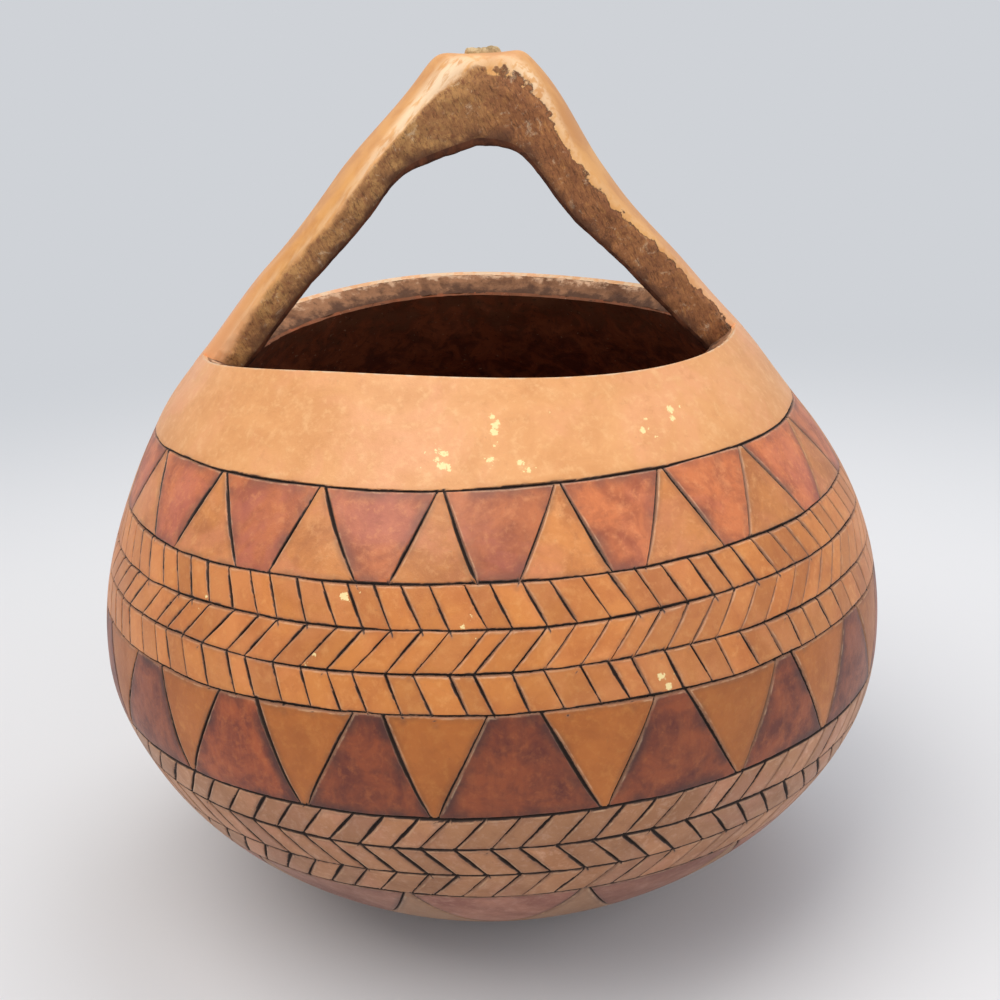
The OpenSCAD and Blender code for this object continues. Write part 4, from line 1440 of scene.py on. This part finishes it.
@dataclass
class CarvedGourd:
    """The whole gourd: where the carver put each line, and the pieces between them."""

    form: GourdForm
    # Heights of the nine ring lines, from the top
    rings: tuple = (145.0, 127.0, 118.0, 109.0, 100.0, 75.0, 65.5, 56.0, 46.5)
    # The triangles on the front as the carver spaced them: tip, middle of the base and width, in degrees
    upper_front: tuple = ((-63.9, -63.6, 14.0), (-45.0, -43.6, 13.8), (-25.9, -24.5, 13.2),
                          (-6.9, -7.6, 11.6), (10.7, 9.7, 12.3), (27.9, 27.1, 12.7),
                          (45.7, 45.3, 14.0), (65.6, 65.4, 14.0))
    lower_front: tuple = ((-43.5, -42.5, 12.0), (-24.8, -23.9, 13.3), (-8.3, -7.4, 12.3),
                          (11.9, 12.0, 14.0), (30.4, 30.2, 14.3), (46.8, 46.9, 13.2))
    upper_count: int = 19
    lower_count: int = 20
    tip_w: float = 1.4
    upper_tiles: int = 94
    lower_tiles: int = 87
    # Sideways run of the tile cuts in each row, positive down to the right
    upper_runs: tuple = (4.7, -8.6, 3.8)
    lower_runs: tuple = (-8.3, 7.2, -7.0)
    # How far over a cut its dark wall reaches, above the belly and below it: burnt, with painted shade, more
    # of it below the belly
    dark_range: tuple = (0.05, 0.6)
    low_dark_range: tuple = (0.4, 0.95)
    # Half widths of the cuts beside the triangles, in the upper tile rows and in the lower ones
    triangle_cuts: tuple = (0.6, 0.85)
    upper_cuts: tuple = (0.3, 0.6)
    lower_cuts: tuple = (0.45, 0.8)
    # Widths of the rings of faces inside a triangle or panel, which its tip leaves room for
    narrow: tuple = (0.15, 0.17, 0.19, 0.21, 0.22, 0.2)

    def triangles(self, front: tuple, count: int, draw: random.Random) -> list[tuple[float, float, float]]:
        """All the triangles of a band: those on the front, then the rest spaced evenly round the back."""
        rest = count - len(front)
        start, arc = front[-1][0], 360 - (front[-1][0] - front[0][0])
        width = sum(t[2] for t in front) / len(front)
        made = list(front)
        for i in range(rest):
            tip = start + arc * (i + 1) / (rest + 1) + draw.uniform(-0.6, 0.6)
            made.append((tip, tip + draw.uniform(-0.8, 0.8), width + draw.uniform(-0.8, 0.8)))
        return made

    def sides(self, triangles: list, tip_z: float, base_z: float) -> list[tuple[float, float]]:
        """Turns triangles to cuts, each as its angle at the band's upper and lower line."""
        tip = math.degrees(self.tip_w / 2 / float(self.form.radius(tip_z)))
        pairs = []
        for point, middle, width in triangles:
            for side in (-1, 1):
                ends = (point + side * tip, middle + side * width / 2)
                pairs.append(ends if tip_z > base_z else ends[::-1])
        return pairs

    def rows(self, lines: tuple, tiles: int, runs: tuple,
             draw: random.Random) -> list[list[tuple[float, float]]]:
        """The slanted cuts of neighbouring rows, which meet end to end as a zigzag."""
        tops = [i * 360 / tiles - 180 + draw.uniform(-0.35, 0.35) for i in range(tiles)]
        found = []
        for high, low, run in zip(lines, lines[1:], runs):
            turn = math.degrees(run / float(self.form.radius((high + low) / 2)))
            bottoms = [top + turn + draw.uniform(-0.3, 0.3) for top in tops]
            found.append(list(zip(tops, bottoms)))
            tops = bottoms
        return found

    def passes(self, sides: list, high: float, low: float, draw: random.Random, thin: float,
               thick: float) -> list[Cut]:
        """Turns a band's sides to passes of the tool, each pressed a little differently.

        Args:
            sides: Angle of each cut at the upper and the lower line.
            high: Height of the upper line.
            low: Height of the lower line.
            draw: Where the differences come from.
            thin: Least half width.
            thick: Greatest half width.

        Returns:
            The passes. Those that run down to the right are broader and darker than those that run down to
            the left, which above the belly grow thinner and carry less painted shade toward the right of the
            body, where their walls face the light.
        """
        made = []
        for top, bottom in sides:
            half, swell = draw.uniform(thin, thick), draw.uniform(0.1, 0.7)
            low_down = high <= self.rings[5]
            dark = draw.uniform(*(self.low_dark_range if low_down else self.dark_range))
            tail = draw.uniform(0.8, 2.0) if draw.random() < 0.55 else 0.25
            if bottom < top:
                # Painted light: above the belly the walls of these cuts face the light toward the right of
                # the body, so their painted shade shrinks there
                rightward = float(smooth(-30, 45, np.float64((top + 180) % 360 - 180)))
                half *= 0.85 - (0.0 if low_down else 0.2 * rightward)
                dark -= 0.2 if low_down else 0.05 + 0.55 * rightward
            made.append(Cut((top, high), (bottom, low), half, 0.5 + 0.6 * half, tail, dark, swell))
        return made

    def build(self) -> None:
        """Builds every piece of the gourd."""
        draw = random.Random(SEED)
        rings = self.rings
        upper = self.sides(self.triangles(self.upper_front, self.upper_count, draw), rings[0], rings[1])
        lower = self.sides(self.triangles(self.lower_front, self.lower_count, draw), rings[5], rings[4])
        upper_rows = self.rows(rings[1:5], self.upper_tiles, self.upper_runs, draw)
        lower_rows = self.rows(rings[5:9], self.lower_tiles, self.lower_runs, draw)
        carving = Carving(self.form, rings)
        sheet = SkinSheet(self.form, carving)
        foot = FootBand(sheet, rings[8])
        carving.cuts += self.passes(upper, rings[0], rings[1], draw, *self.triangle_cuts)
        carving.cuts += self.passes(lower, rings[4], rings[5], draw, *self.triangle_cuts)
        for first, rows, cuts in ((1, upper_rows, self.upper_cuts), (5, lower_rows, self.lower_cuts)):
            for row, sides in enumerate(rows, first):
                carving.cuts += self.passes(sides, rings[row], rings[row + 1], draw, *cuts)
        carving.cuts += foot.cuts(draw)

        Collar(sheet, self.form.rim_z, rings[0]).piece(COLLAR.material())
        triangle_bands = (("upper", rings[0:2], upper, 29, (LIGHT, DYED)),
                          ("lower", rings[4:6], lower, 33, (LOW_LIGHT, LOW_DYED)))
        for name, lines, sides, along, finishes in triangle_bands:
            light, dyed = (finish.material() for finish in finishes)
            band = CarvedBand(sheet, *lines, sides, self.narrow, along)
            band.piece(f"light_triangles_{name}", light, "skin", f"{name}_light_triangles", Field.TRIANGLES)
            band.piece(f"dyed_panels_{name}", dyed, "dyed_skin", f"{name}_dark_panels", Field.PANELS)
        tile_bands = (("upper", 1, upper_rows, "tile_skin", TILE.material()),
                      ("lower", 5, lower_rows, "low_tile_skin", LOW_TILE.material()))
        for name, first, rows, slot, finish in tile_bands:
            for row, sides in enumerate(rows):
                band = CarvedBand(sheet, rings[row + first], rings[row + first + 1], sides)
                band.piece(f"tiles_{name}_{row + 1}", finish, slot, f"{name}_tile_row_{row + 1}")
        foot.scallops(SCALLOP.material())
        foot.base(BASE.material())
        shell = Shell(self.form)
        shell.wall(SAWN_WALL.material())
        shell.pith(PITH.material())
        Handle(self.form).pieces(STRAP.material(), STRAP_PITH.material())
        cork = CORK.material()
        StemStub(self.form).piece(cork)
        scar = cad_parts["blossom_scar"]
        scar.data.materials.clear()
        scar.data.materials.append(cork)


def main() -> None:
    """Builds the gourd and its studio."""
    logging.basicConfig(level=logging.INFO, format="%(message)s")
    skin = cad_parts["lower_light_triangles"]
    reach = max(math.hypot(v.co.x, v.co.y) for v in skin.data.vertices) / MM
    LOG.info("belly radius in the frame %.1f mm", reach)
    CarvedGourd(GourdForm(belly_r=float(round(reach)))).build()
    Studio().build()


if __name__ == "__main__":
    main()
